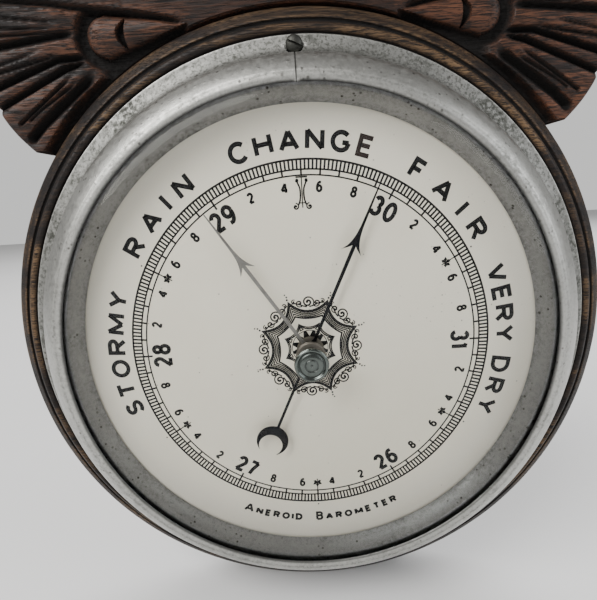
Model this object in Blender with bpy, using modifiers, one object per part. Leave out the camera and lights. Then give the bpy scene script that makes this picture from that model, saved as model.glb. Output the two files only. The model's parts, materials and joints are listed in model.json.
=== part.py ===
"""Wall aneroid barometer: turned and carved oak case, plated bezel, dial, hands and aneroid movement.

World frame: +X right, +Z up, the dial faces -Y, and the back of the case is the plane Y = 0.
The pieces are modelled on a bench frame that stands upright in the world: its x is right, its y is up
and its z is the depth, counted from the back of the case towards the viewer.
"""
import math

import bmesh
import bpy

MM = 0.001

# Driving dimensions
DIAL_FACE = 36.0 * MM          # depth of the dial's printed face
CASE_R = 113.7 * MM            # turned body
CASE_DEPTH = 33.3 * MM         # flat wooden seat under the dial
BOARD_DEPTH = 20.0 * MM        # crest board
CREST_TOP = 158.0 * MM         # top of the crest above the pointer's axis
DRUM_R = 62.0 * MM             # movement drum
DIAL_R = 88.0 * MM             # dial plate and the drum's flange under it
GLASS_R = 86.8 * MM
SHEET = 0.8 * MM               # spun sheet of the bezel
POINTER_REST = 24.8            # degrees clockwise from 12 o'clock
SET_HAND_REST = -33.7
GAP = 0.3 * MM                 # clearance between touching pieces

RING_STEPS = 48                # sides of a large turned piece
SMALL_STEPS = 16               # sides of a pin, screw or pillar

# Bezel screws sit at 12, 4 and 8 o'clock
SCREW_R = 99.6 * MM
SCREW_SEAT = -8.5              # height of the heads' undersides above the dial's face, in millimetres
SCREW_ANGLES = {"top": 0.0, "right": 120.0, "left": -120.0}


def clear_scene():
    for obj in list(bpy.data.objects):
        bpy.data.objects.remove(obj, do_unlink=True)


clear_scene()
PARTS = bpy.data.collections.new("aneroid_barometer")
CUTTERS = bpy.data.collections.new("cutters")
bpy.context.scene.collection.children.link(PARTS)
bpy.context.scene.collection.children.link(CUTTERS)
CUTTERS.hide_render = True


def material(name, colour, roughness, metallic=0.0, alpha=1.0):
    made = bpy.data.materials.new(name)
    made.use_nodes = True
    shader = made.node_tree.nodes["Principled BSDF"]
    shader.inputs["Base Color"].default_value = (*colour, 1.0)
    shader.inputs["Roughness"].default_value = roughness
    shader.inputs["Metallic"].default_value = metallic
    shader.inputs["Alpha"].default_value = alpha
    return made


OAK = material("dark_oak", (0.075, 0.034, 0.018), 0.5)
NICKEL = material("nickel_plate", (0.56, 0.57, 0.56), 0.38, 1.0)
ENAMEL = material("dial_enamel", (0.74, 0.72, 0.66), 0.55)
GLASS = material("plate_glass", (0.9, 0.95, 0.94), 0.03, 0.0, 0.2)
BRASS = material("brass", (0.62, 0.44, 0.19), 0.35, 1.0)
STEEL = material("steel", (0.42, 0.42, 0.43), 0.35, 1.0)
BLUED = material("blued_steel", (0.02, 0.022, 0.03), 0.35, 1.0)
SILVERED = material("silvered_brass", (0.55, 0.53, 0.5), 0.35, 1.0)
TARNISHED = material("tarnished_steel", (0.13, 0.12, 0.11), 0.6, 1.0)
IRON = material("black_iron", (0.05, 0.05, 0.055), 0.6, 1.0)


# Placing

def empty(name, parent=None, location=(0, 0, 0), rotation=(0, 0, 0)):
    made = bpy.data.objects.new(name, None)
    made.location = location
    made.rotation_euler = rotation
    made.parent = parent
    PARTS.objects.link(made)
    return made


BENCH = empty("bench", rotation=(math.pi / 2, 0, 0))


def place(obj, parent, location=(0, 0, 0), rotation=(0, 0, 0)):
    obj.parent = parent
    obj.location = location
    obj.rotation_euler = rotation
    return obj


def add_object(name, data, surface, parent=BENCH, location=(0, 0, 0), rotation=(0, 0, 0)):
    made = bpy.data.objects.new(name, data)
    PARTS.objects.link(made)
    if surface is not None:
        made.data.materials.append(surface)
    return place(made, parent, location, rotation)


def dial_point(radius, angle):
    """The bench x and y at a radius and a clock angle in degrees, clockwise from 12 o'clock."""
    turn = math.radians(angle)
    return radius * math.sin(turn), radius * math.cos(turn)


def front(height):
    """Bench depth of a height in millimetres above the dial's face."""
    return DIAL_FACE + height * MM


# Shapes

def profile_mesh(name, points, closed):
    mesh = bpy.data.meshes.new(name)
    edges = [(i, i + 1) for i in range(len(points) - 1)]
    if closed:
        edges.append((len(points) - 1, 0))
    mesh.from_pydata([(radius, 0.0, depth) for radius, depth in points], edges, [])
    return mesh


def turned(name, points, surface, parent=BENCH, location=(0, 0, 0), steps=RING_STEPS, shell=0.0):
    """A turned piece from (radius, depth) points that run down its outer side.

    A profile that starts on the axis makes a solid of its own, one with a shell thickness makes a
    spun sheet, and any other is closed into a ring.
    """
    on_axis = points[0][0] == 0.0
    line = profile_mesh(name, points, not on_axis and not shell)
    made = add_object(name, line, surface, parent, location)
    screw = made.modifiers.new("turn", "SCREW")
    screw.axis = "Z"
    screw.steps = steps
    screw.render_steps = steps
    screw.use_merge_vertices = True
    screw.merge_threshold = 0.00001
    screw.use_smooth_shade = True
    if shell:
        sheet = made.modifiers.new("sheet", "SOLIDIFY")
        sheet.thickness = shell
        sheet.offset = -1.0
    return made


def rod(name, radius, low, high, surface, parent=BENCH, centre=(0, 0), steps=SMALL_STEPS):
    """A solid cylinder along the depth."""
    points = [(0.0, high), (radius, high), (radius, low), (0.0, low)]
    return turned(name, points, surface, parent, (centre[0], centre[1], 0), steps)


def plate(name, outlines, thickness, surface, parent=BENCH, location=(0, 0, 0), rotation=(0, 0, 0)):
    """A flat piece: closed outlines in its own plane, the first outside and the others holes."""
    curve = bpy.data.curves.new(name, "CURVE")
    curve.dimensions = "2D"
    curve.fill_mode = "BOTH"
    curve.extrude = thickness / 2
    for outline in outlines:
        spline = curve.splines.new("POLY")
        spline.points.add(len(outline) - 1)
        for point, (across, along) in zip(spline.points, outline):
            point.co = (across, along, 0.0, 1.0)
        spline.use_cyclic_u = True
    return add_object(name, curve, surface, parent, location, rotation)


def wire(name, points, radius, surface, parent=BENCH, resolution=2):
    curve = bpy.data.curves.new(name, "CURVE")
    curve.dimensions = "3D"
    curve.bevel_depth = radius
    curve.bevel_resolution = resolution
    curve.use_fill_caps = True
    spline = curve.splines.new("POLY")
    spline.points.add(len(points) - 1)
    for point, (x, y, z) in zip(spline.points, points):
        point.co = (x, y, z, 1.0)
    return add_object(name, curve, surface, parent)


ON_EDGE_XZ = (math.pi / 2, 0, 0)            # outline in bench x and z, thickness along y
ON_EDGE_YZ = (math.pi / 2, 0, math.pi / 2)  # outline in bench y and z, thickness along x


def circle(radius, count, centre=(0.0, 0.0)):
    turns = [2 * math.pi * i / count for i in range(count)]
    return [(centre[0] + radius * math.sin(t), centre[1] + radius * math.cos(t)) for t in turns]


def arc(centre, radius, start, end, count):
    """Points on an arc, from one angle to another in degrees, counted from +x towards +y."""
    angles = [math.radians(start + (end - start) * i / (count - 1)) for i in range(count)]
    return [(centre[0] + radius * math.cos(a), centre[1] + radius * math.sin(a)) for a in angles]


def bezier(a, b, c, d, count):
    """Points on a cubic curve from a to d, without its last point."""
    points = []
    for i in range(count):
        t = i / count
        weights = ((1 - t) ** 3, 3 * t * (1 - t) ** 2, 3 * t * t * (1 - t), t ** 3)
        points.append(tuple(sum(w * p[k] for w, p in zip(weights, (a, b, c, d))) for k in (0, 1)))
    return points


def mirrored(half):
    """A closed outline from its right half, whose first and last points are on the centre line."""
    left = [(-x, y) for x, y in reversed(half) if abs(x) > 1e-9]
    return half + left


def box_outline(x0, x1, y0, y1):
    return [(x0, y0), (x1, y0), (x1, y1), (x0, y1)]


# Cutting

def as_mesh(obj):
    """Turns a curve object into a welded mesh object, so that it can be cut."""
    bpy.context.view_layer.update()
    graph = bpy.context.evaluated_depsgraph_get()
    mesh = bpy.data.meshes.new_from_object(obj.evaluated_get(graph), depsgraph=graph)
    welded = bmesh.new()
    welded.from_mesh(mesh)
    bmesh.ops.remove_doubles(welded, verts=welded.verts, dist=0.00001)
    welded.to_mesh(mesh)
    welded.free()
    name, parent, place_in_world = obj.name, obj.parent, obj.matrix_world.copy()
    bpy.data.objects.remove(obj, do_unlink=True)
    made = bpy.data.objects.new(name, mesh)
    PARTS.objects.link(made)
    made.parent = parent
    made.matrix_world = place_in_world
    return made


def cutter(name, mesh, parent, location, rotation):
    made = bpy.data.objects.new(name, mesh)
    CUTTERS.objects.link(made)
    made.hide_render = True
    made.display_type = "WIRE"
    return place(made, parent, location, rotation)


def cylinder_cutter(name, radius, low, high, centre=(0, 0), parent=BENCH, steps=SMALL_STEPS,
                    top_radius=None):
    """A cylinder or cone along the depth, from low to high."""
    mesh = bpy.data.meshes.new(name)
    shape = bmesh.new()
    bmesh.ops.create_cone(shape, cap_ends=True, segments=steps, radius1=radius,
                          radius2=radius if top_radius is None else top_radius, depth=high - low)
    shape.to_mesh(mesh)
    shape.free()
    return cutter(name, mesh, parent, (centre[0], centre[1], (low + high) / 2), (0, 0, 0))


def box_cutter(name, low, high, parent=BENCH):
    mesh = bpy.data.meshes.new(name)
    shape = bmesh.new()
    bmesh.ops.create_cube(shape, size=1.0)
    bmesh.ops.scale(shape, vec=[b - a for a, b in zip(low, high)], verts=shape.verts)
    shape.to_mesh(mesh)
    shape.free()
    return cutter(name, mesh, parent, [(a + b) / 2 for a, b in zip(low, high)], (0, 0, 0))


def cut(obj, tool):
    boolean = obj.modifiers.new("cut_" + tool.name, "BOOLEAN")
    boolean.operation = "DIFFERENCE"
    boolean.solver = "EXACT"
    boolean.object = tool


def join(obj, helper):
    """Unites a helper with the object: the helper leaves the parts and stays as a guide."""
    PARTS.objects.unlink(helper)
    CUTTERS.objects.link(helper)
    helper.hide_render = True
    helper.display_type = "WIRE"
    boolean = obj.modifiers.new("join_" + helper.name, "BOOLEAN")
    boolean.operation = "UNION"
    boolean.solver = "EXACT"
    boolean.object = helper


# Fasteners

def countersunk_screw(name, head_r, shank_r, low, length, centre, surface):
    """A screw driven in from the back: its flat head lies at the low depth."""
    head = head_r - shank_r
    points = [(0.0, low + length), (shank_r, low + length - shank_r), (shank_r, low + head),
              (head_r, low), (0.0, low)]
    return turned(name, points, surface, BENCH, (centre[0], centre[1], 0), 12)


def round_head_screw(name, head_r, head_h, shank_r, seat, length, centre, surface, steps=12):
    """A screw driven in from the front: the underside of its domed head is at the seat."""
    turns = [math.pi * i / 6 for i in range(4)]
    dome = [(head_r * math.sin(t), seat + head_h * (0.3 + 0.7 * math.cos(t))) for t in turns]
    points = [*dome, (head_r, seat), (shank_r, seat), (shank_r, seat - length + shank_r),
              (0.0, seat - length)]
    return turned(name, points, surface, BENCH, (centre[0], centre[1], 0), steps)


# Case

CASE_BORE = 62.6 * MM
COVER_R = 71.9 * MM
COVER_T = 1.6 * MM
COVER_SCREW_R = 67.0 * MM
COVER_SCREW_ANGLES = (60.0, 180.0, 300.0)
DIAL_SCREW_R = 86.2 * MM
DIAL_SCREW_ANGLES = (60.0, 180.0, 300.0)
BITE_R = CASE_R + GAP
BITE_ANGLE = 50.8              # the crest reaches this far round the case from 12 o'clock
HANGER_SCREW_Y = {"lower": 135.0 * MM, "upper": 149.0 * MM}
HANGER_HOLE_Y = 168.0 * MM
HANGER_HOLE_R = 4.2 * MM
HANGER_HALF = 12.0 * MM
HANGER_LOW = 130.0 * MM
DOWEL_R = 4.0 * MM
DOWEL_ANGLES = {"left": -24.0, "right": 24.0}
FAN_CENTRE = (65.3 * MM, 104.6 * MM)
FAN_R = 42.3 * MM
ACCESS_Y = 30.0 * MM           # adjusting screw, above the pointer's axis


def make_turned_case():
    """Round oak body: straight sides, a rounded edge, a quirk, a bead and a step up under the bezel."""
    step = [(94.9, -5.0), (95.6, -7.2), (97.0, -9.2), (99.2, -10.1), (101.4, -10.8), (103.6, -10.8)]
    bead = [(104.3, -10.3), (105.6, -10.2), (106.9, -11.3), (107.5, -12.9), (108.6, -13.2)]
    edge = [(110.3, -14.2), (112.2, -15.9), (113.3, -17.7), (113.7, -19.7)]
    rim = [(radius * MM, front(height)) for radius, height in (*step, *bead, *edge)]
    points = [(CASE_BORE, CASE_DEPTH), (94.4 * MM, CASE_DEPTH), *rim,
              (CASE_R - 1.0 * MM, 0.0), (COVER_R + GAP, 0.0), (COVER_R + GAP, COVER_T + GAP),
              (CASE_BORE, COVER_T + GAP)]
    case = turned("turned_case", points, OAK)
    for side, angle in SCREW_ANGLES.items():
        cut(case, cylinder_cutter("case_pilot_" + side, 1.5 * MM, 15.5 * MM, front(-6),
                                  dial_point(SCREW_R, angle), steps=12))
    for i, angle in enumerate(DIAL_SCREW_ANGLES, 1):
        cut(case, cylinder_cutter(f"case_dial_pilot_{i}", 1.2 * MM, 25 * MM, CASE_DEPTH + MM,
                                  dial_point(DIAL_SCREW_R, angle), steps=12))
    for i, angle in enumerate(COVER_SCREW_ANGLES, 1):
        cut(case, cylinder_cutter(f"case_cover_pilot_{i}", 1.5 * MM, -MM, 11 * MM,
                                  dial_point(COVER_SCREW_R, angle), steps=12))
    return case


def crest_outline():
    """Crest board: bite round the case, fan edges, shoulders and low arched top."""
    bite = arc((0, 0), BITE_R, 90.0, 90.0 - BITE_ANGLE, 13)[1:]
    fan = arc(FAN_CENTRE, FAN_R, -48.0, 20.0, 9)
    shoulder = fan[-1]
    fillet = (shoulder[0] + 1.5 * MM, shoulder[1] + 3.0 * MM)
    neck = (66 * MM, 133 * MM)
    ear = (44 * MM, 143 * MM)
    crown = (0.0, CREST_TOP)
    cove = bezier(fillet, (90 * MM, 123 * MM), (75 * MM, 125 * MM), neck, 6)
    rise = bezier(neck, (62 * MM, 139 * MM), (54 * MM, 143 * MM), ear, 4)
    step = (ear[0] - 2 * MM, ear[1] + 1.5 * MM)
    arch = bezier(step, (28 * MM, 146 * MM), (20 * MM, CREST_TOP), crown, 7)
    return mirrored([(0.0, BITE_R), *bite, *fan, *cove, *rise, ear, *arch, crown])


def make_crest():
    board = plate("crest_board", [crest_outline()], BOARD_DEPTH, OAK, location=(0, 0, BOARD_DEPTH / 2))
    board = as_mesh(board)
    side, low = HANGER_HALF + GAP, HANGER_LOW - GAP
    cut(board, box_cutter("hanger_recess", (-side, low, -MM), (side, 175 * MM, 2.6 * MM)))
    for label, height in HANGER_SCREW_Y.items():
        cut(board, cylinder_cutter("hanger_pilot_" + label, 1.5 * MM, 0.5 * MM, 14 * MM, (0, height),
                                   steps=12))
    return board


def make_dowels(case, board):
    """Blind dowels across the glued joint, half in the body and half in the board."""
    reach = 11 * MM
    for side, angle in DOWEL_ANGLES.items():
        middle = dial_point(CASE_R, angle)
        along = empty("dowel_axis_" + side, BENCH, (middle[0], middle[1], BOARD_DEPTH / 2),
                      (-math.pi / 2, 0, -math.radians(angle)))
        rod("crest_dowel_" + side, DOWEL_R, -reach, reach, OAK, along, steps=12)
        hole = cylinder_cutter("dowel_hole_" + side, DOWEL_R + GAP, -reach - GAP, reach + GAP,
                               parent=along, steps=12)
        cut(case, hole)
        cut(board, hole)


def make_hanger():
    """Brass hanging plate let into the back of the crest, its round end standing above the board."""
    top = arc((0, HANGER_HOLE_Y), HANGER_HALF, 0.0, 180.0, 9)
    outline = [(HANGER_HALF, HANGER_LOW), *top, (-HANGER_HALF, HANGER_LOW)]
    eye = circle(HANGER_HOLE_R, SMALL_STEPS, (0, HANGER_HOLE_Y))
    hanger = plate("hanger_plate", [outline, eye], 2.0 * MM, BRASS, location=(0, 0, 1.3 * MM))
    hanger = as_mesh(hanger)
    for label, height in HANGER_SCREW_Y.items():
        centre = (0, height)
        cut(hanger, cylinder_cutter("hanger_sink_" + label, 3.9 * MM, -0.4 * MM, 2.6 * MM, centre, steps=12,
                                    top_radius=1.35 * MM))
        countersunk_screw("hanger_screw_" + label, 2.9 * MM, 1.2 * MM, 0.4 * MM, 12 * MM, centre, STEEL)


def make_rear_cover():
    cover = rod("rear_cover", COVER_R, 0.0, COVER_T, BRASS, steps=RING_STEPS)
    cut(cover, cylinder_cutter("access_hole", 4.5 * MM, -MM, COVER_T + MM, (0, ACCESS_Y)))
    for i, angle in enumerate(COVER_SCREW_ANGLES, 1):
        centre = dial_point(COVER_SCREW_R, angle)
        cut(cover, cylinder_cutter(f"cover_sink_{i}", 4.2 * MM, -1.0 * MM, 1.7 * MM, centre, steps=12,
                                   top_radius=1.5 * MM))
        countersunk_screw(f"rear_cover_screw_{i}", 2.5 * MM, 1.2 * MM, 0.1 * MM, 10 * MM, centre, STEEL)


# Front

def make_bezel():
    """Deep spun ring: a lip over the glass, a convex roll, a steep wall, a cove and a flange on the wood."""
    line = [(85.2, 9.9), (85.9, 10.4), (87.1, 10.5), (88.6, 9.9), (90.6, 8.4), (92.4, 6.6), (93.7, 5.1),
            (94.5, 3.7), (95.3, 0.0), (96.2, -4.6), (96.9, -6.6), (98.0, -7.9), (99.6, -8.6), (102.6, -9.3),
            (103.0, -9.9)]
    points = [(radius * MM, front(height)) for radius, height in line]
    bezel = turned("bezel", points, NICKEL, shell=SHEET)
    for side, angle in SCREW_ANGLES.items():
        centre = dial_point(SCREW_R, angle)
        cut(bezel, cylinder_cutter("shank_notch_" + side, 1.8 * MM, front(-14), front(-6), centre, steps=12))
        cut(bezel, cylinder_cutter("head_notch_" + side, 3.2 * MM, front(SCREW_SEAT - 0.1), front(3),
                                   centre))
        round_head_screw("bezel_screw_" + side, 2.8 * MM, 2.3 * MM, 1.2 * MM, front(SCREW_SEAT), 11 * MM,
                         centre, TARNISHED)


def make_glass():
    """Plate glass with a bevelled edge and a hole for the knob's bush."""
    hole, bevel = 3.3 * MM, GLASS_R - 4.8 * MM
    points = [(hole, front(10.4)), (bevel, front(10.4)), (GLASS_R, front(8.6)), (GLASS_R, front(7.6)),
              (hole, front(7.6))]
    turned("dial_glass", points, GLASS)


def make_reflector():
    """Sloping sheet ring between the dial's edge and the glass."""
    line = [(81.0, 0.8), (84.7, 7.1), (87.3, 7.2)]
    points = [(radius * MM, front(height)) for radius, height in reversed(line)]
    ring = turned("reflector_ring", points, NICKEL, shell=0.6 * MM)
    ring.modifiers["sheet"].offset = 1.0


def make_dial():
    hole, back = 2.2 * MM, front(-1.1)
    points = [(hole, front(0)), (DIAL_R, front(0)), (DIAL_R, back), (hole, back)]
    dial = turned("dial_plate", points, ENAMEL)
    for i, angle in enumerate(DIAL_SCREW_ANGLES, 1):
        centre = dial_point(DIAL_SCREW_R, angle)
        cut(dial, cylinder_cutter(f"dial_hole_{i}", 1.2 * MM, front(-3), front(1), centre, steps=12))
        round_head_screw(f"dial_screw_{i}", 1.7 * MM, 1.0 * MM, 0.9 * MM, front(0.3), 9 * MM, centre, BRASS,
                         steps=8)


# Hands

def hand_outline(tip, shoulder, barb, barb_half, notch, hub_r, tail_outline):
    """Right half of a hand from its tip down to its tail: a spear head with swept barbs, then the eye."""
    half = [(0.0, tip), (0.3 * MM, shoulder + 0.45 * (tip - shoulder)), (0.5 * MM, shoulder),
            (1.3 * MM, barb + 0.35 * (shoulder - barb)), (barb_half, barb),
            (1.2 * MM, notch - 0.6 * MM), (0.5 * MM, notch), (0.6 * MM, hub_r * 0.98)]
    eye = arc((0, 0), hub_r, 75.0, -75.0, 9)
    return [*half, *eye, *tail_outline]


def crescent_tail():
    """Right half of the counterweight: a round disc with a round bite open towards its far side."""
    disc_r, disc_y, bite_r, bite_y = 6.0 * MM, -38.5 * MM, 4.3 * MM, -41.3 * MM
    reach = bite_y - disc_y
    chord_y = (disc_r ** 2 - bite_r ** 2 + reach ** 2) / (2 * reach)
    half_chord = math.sqrt(disc_r ** 2 - chord_y ** 2)
    horn = math.degrees(math.atan2(chord_y, half_chord))
    inner = math.degrees(math.atan2(disc_y + chord_y - bite_y, half_chord))
    outside = arc((0, disc_y), disc_r, 84.0, horn, 10)
    inside = arc((0, bite_y), bite_r, inner, 90.0, 7)
    return [(0.55 * MM, -3.2 * MM), *outside, *inside[1:]]


def hand(name, half, eye_r, thickness, surface, parent):
    return plate(name, [mirrored(half), circle(eye_r, 12)], thickness, surface, parent)


def make_pointer(axis):
    """Everything that turns with the pointer: arbor, drum, collet, hand and cap."""
    half = hand_outline(61.5 * MM, 45.7 * MM, 37.2 * MM, 3.4 * MM, 39.6 * MM, 3.2 * MM, crescent_tail())
    blade = hand("main_pointer", half, 1.3 * MM, 0.5 * MM, BLUED, axis)
    blade.location.z = 3.65 * MM
    collet = [(1.2, 3.1), (4.6, 3.1), (4.9, 2.3), (3.4, 1.4), (1.2, 1.2)]
    turned("pointer_collet", [(r * MM, h * MM) for r, h in collet], BRASS, axis, steps=24)
    cap = [(1.2, 4.9), (2.2, 4.8), (2.7, 4.2), (1.2, 4.2)]
    turned("pointer_cap", [(r * MM, h * MM) for r, h in cap], BRASS, axis, steps=24)
    arbor = [(0.0, 5.0), (0.9, 4.7), (0.9, -5.0), (1.4, -5.0), (1.4, -7.4), (0.9, -7.4), (0.9, -11.0),
             (0.6, -11.3), (0.0, -11.5)]
    turned("pointer_arbor", [(r * MM, h * MM) for r, h in arbor], STEEL, axis, steps=12)
    grip = [(1.2, -7.8), (2.0, -7.8), (2.0, -8.8), (1.2, -8.8)]
    turned("hairspring_collet", [(r * MM, h * MM) for r, h in grip], BRASS, axis, steps=12)


def make_set_hand(axis):
    """The loose hand with its knob, spindle and collet, in a bush through the glass."""
    half = hand_outline(58.6 * MM, 43.2 * MM, 35.5 * MM, 3.1 * MM, 37.6 * MM, 3.2 * MM,
                        [(0.0, -3.2 * MM)])
    blade = hand("set_hand", half, 1.7 * MM, 0.4 * MM, SILVERED, axis)
    blade.location.z = 5.7 * MM
    spindle = [(0.0, 15.6), (1.3, 15.6), (1.3, 5.3), (0.0, 5.3)]
    turned("set_hand_spindle", [(r * MM, h * MM) for r, h in spindle], STEEL, axis, steps=SMALL_STEPS)
    grip = [(1.6, 6.6), (2.8, 6.6), (2.8, 6.2), (1.6, 6.2)]
    turned("set_hand_collet", [(r * MM, h * MM) for r, h in grip], BRASS, axis, steps=24)
    knob = [(0.0, 21.5), (2.0, 21.4), (3.9, 20.9), (4.5, 21.3), (5.2, 21.5), (5.9, 21.0), (6.1, 20.2),
            (5.8, 19.2), (4.4, 17.6), (3.0, 15.8), (2.7, 14.0), (3.6, 12.6), (3.6, 12.0), (1.6, 12.0),
            (1.6, 16.0), (0.0, 16.0)]
    turned("setting_knob", [(r * MM, h * MM) for r, h in knob], NICKEL, axis, steps=24)


def make_bush():
    sleeve = [(1.6, 11.6), (4.6, 11.6), (5.2, 10.7), (3.0, 10.7), (3.0, 8.3), (1.6, 8.3)]
    turned("knob_bush", [(r * MM, front(h)) for r, h in sleeve], BRASS, steps=24)
    nut = [(1.6, 7.3), (4.6, 7.3), (4.6, 6.9), (1.6, 6.9)]
    turned("bush_nut", [(r * MM, front(h)) for r, h in nut], BRASS, steps=6)


# Movement

DRUM_FLOOR = 4.0 * MM
BASE_LOW = 5.3 * MM
BASE_HIGH = 7.3 * MM
BASE_R = 48.0 * MM
BASE_SCREW_R = 42.0 * MM
BASE_SCREW_ANGLES = (30.0, 150.0, 270.0)
CAPSULE_R = 25.0 * MM
SPRING_HINGE_Y = 25.0 * MM
SPRING_Z = 21.2 * MM
LEVER_TIP_Y = -30.0 * MM
SHAFT_Y = -36.0 * MM
SHAFT_Z = 15.8 * MM
ARM_X = 16.0 * MM
ARM_TOP = 14.0 * MM


def make_drum():
    wall, floor = DRUM_R, DRUM_FLOOR
    flange = front(-1.4)
    points = [(wall - MM, flange), (DIAL_R, flange), (DIAL_R, flange - MM), (wall, flange - MM),
              (wall, floor), (36 * MM, floor), (36 * MM, floor + MM), (wall - MM, floor + MM)]
    drum = turned("movement_drum", points, BRASS)
    for i, angle in enumerate(DIAL_SCREW_ANGLES, 1):
        cut(drum, cylinder_cutter(f"flange_hole_{i}", 1.2 * MM, front(-4), front(-1),
                                  dial_point(DIAL_SCREW_R, angle), steps=12))
    for i, angle in enumerate(BASE_SCREW_ANGLES, 1):
        cut(drum, cylinder_cutter(f"floor_hole_{i}", 1.5 * MM, floor - MM, floor + 2 * MM,
                                  dial_point(BASE_SCREW_R, angle), steps=12))


def make_base():
    base = rod("movement_base", BASE_R, BASE_LOW, BASE_HIGH, BRASS, steps=RING_STEPS)
    cut(base, cylinder_cutter("adjuster_hole", 2.5 * MM, 4 * MM, 9 * MM, (0, ACCESS_Y)))
    screw = [(0.0, 7.2), (1.2, 6.8), (1.2, 3.7), (2.4, 3.7), (2.4, 2.6), (0.0, 2.4)]
    points = [(radius * MM, depth * MM) for radius, depth in screw]
    for i, angle in enumerate(BASE_SCREW_ANGLES, 1):
        centre = dial_point(BASE_SCREW_R, angle)
        cut(base, cylinder_cutter(f"base_hole_{i}", 1.5 * MM, 4 * MM, 9 * MM, centre, steps=12))
        turned(f"base_screw_{i}", points, STEEL, BENCH, (centre[0], centre[1], 0), 12)


def make_capsule(axis):
    """Corrugated capsule: a thin shell with a round mouth for its moving centre, which carries a post."""
    inner, outer, skin = 5.4 * MM, CAPSULE_R - MM, 0.5 * MM
    top, bottom = 15.0 * MM, 9.6 * MM
    folds = 6
    radii = [inner + (outer - inner) * i / folds for i in range(folds + 1)]
    ripple = [0.5 * MM * (-1) ** i for i in range(folds + 1)]
    crown = list(zip(radii, ripple))
    sole = crown[1:]
    inside = [(0.0, bottom + skin), *((r, bottom - w + skin) for r, w in sole),
              (CAPSULE_R - skin, 11.8 * MM), (CAPSULE_R - skin, 12.8 * MM),
              *((r, top + w - skin) for r, w in reversed(crown))]
    outside = [*((r, top + w) for r, w in crown), (CAPSULE_R, 13.2 * MM), (CAPSULE_R, 11.4 * MM),
               *((r, bottom - w) for r, w in reversed(sole)),
               (4.0 * MM, bottom), (4.0 * MM, BASE_HIGH + GAP), (0.0, BASE_HIGH + GAP)]
    turned("vacuum_capsule", [*inside, *outside], BRASS, steps=24)
    centre = [(0.0, 21.1), (1.8, 21.1), (1.8, 17.6), (4.9, 17.4), (4.9, 14.0), (0.0, 13.8)]
    turned("capsule_centre", [(r * MM, h * MM) for r, h in centre], STEEL, axis, steps=SMALL_STEPS)


def make_bridge():
    outline = [(-33, 7.6), (-26.5, 7.6), (-26.5, 17.2), (26.5, 17.2), (26.5, 7.6), (33, 7.6),
               (33, 20.4), (-33, 20.4)]
    plate("spring_bridge", [[(x * MM, z * MM) for x, z in outline]], 9 * MM, IRON,
          location=(0, ACCESS_Y, 0), rotation=ON_EDGE_XZ)
    clamp = [(-12, 20.7), (12, 20.7), (12, 22.6), (10, 23.6), (-10, 23.6), (-12, 22.6)]
    plate("spring_clamp", [[(x * MM, z * MM) for x, z in clamp]], 8.6 * MM, IRON,
          location=(0, ACCESS_Y, 0), rotation=ON_EDGE_XZ)


def make_spring_and_lever(axis):
    """The leaf spring from the clamp over the capsule, and the long lever on its free end."""
    half, length, rise = 0.5 * MM, 30.0 * MM, 1.8 * MM
    line = [(-GAP - length * i / 8, rise * math.sin(math.pi * i / 8)) for i in range(9)]
    outline = [(y, z + half) for y, z in line] + [(y, z - half) for y, z in reversed(line)]
    plate("mainspring", [outline], 20 * MM, STEEL, axis, rotation=ON_EDGE_YZ)
    start = line[-1][0] - GAP
    tip = LEVER_TIP_Y - SPRING_HINGE_Y - 2.4 * MM
    lever = [(start, 0.7 * MM), (start, -0.7 * MM), (tip, -0.7 * MM), (tip, 0.7 * MM)]
    plate("main_lever", [lever], 3.2 * MM, BRASS, axis, rotation=ON_EDGE_YZ)


def make_linkage(link_axis, shaft_axis, chain_axis):
    """Link from the lever to the short arm, rocking shaft with its two arms, and the chain."""
    low = SHAFT_Z - SPRING_Z
    wire("connecting_link", [(0, 0, -1.1 * MM), (0, 0, low / 2), (0, 0, low + 1.3 * MM)], 0.4 * MM, STEEL,
         link_axis)
    shaft = plate("rocking_shaft", [circle(MM, 12)], 42 * MM, STEEL, shaft_axis, (5.2 * MM, 0, 0),
                  ON_EDGE_YZ)
    shaft = as_mesh(shaft)
    arms = {"short_arm": (0.0, 2.6 * MM, box_outline(-1.4 * MM, 6.8 * MM, -0.9 * MM, 0.9 * MM)),
            "long_arm": (ARM_X, 2.0 * MM, [(-1.2 * MM, -1.4 * MM), (1.2 * MM, -1.4 * MM),
                                           (0.7 * MM, ARM_TOP), (-0.7 * MM, ARM_TOP)])}
    for name, (x, width, outline) in arms.items():
        arm = as_mesh(plate(name, [outline], width, STEEL, shaft_axis, (x, 0, 0), ON_EDGE_YZ))
        join(shaft, arm)
    rise, beside = 0.7 * MM, 2.1 * MM
    run = [(0, 0.4 * MM, rise), (beside - ARM_X, -SHAFT_Y - MM, rise)]
    wire("chain", run, 0.35 * MM, STEEL, chain_axis)


def make_brackets():
    for side, x in {"left": -13.2 * MM, "right": 23.7 * MM}.items():
        foot = [(-4, 7.6), (4, 7.6), (2.6, 18.4), (-2.6, 18.4)]
        outline = [(y * MM, z * MM) for y, z in foot]
        plate("shaft_bracket_" + side, [outline, circle(1.3 * MM, 12, (0, SHAFT_Z))], 5 * MM, BRASS,
              location=(x, SHAFT_Y, 0), rotation=ON_EDGE_YZ)


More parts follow.
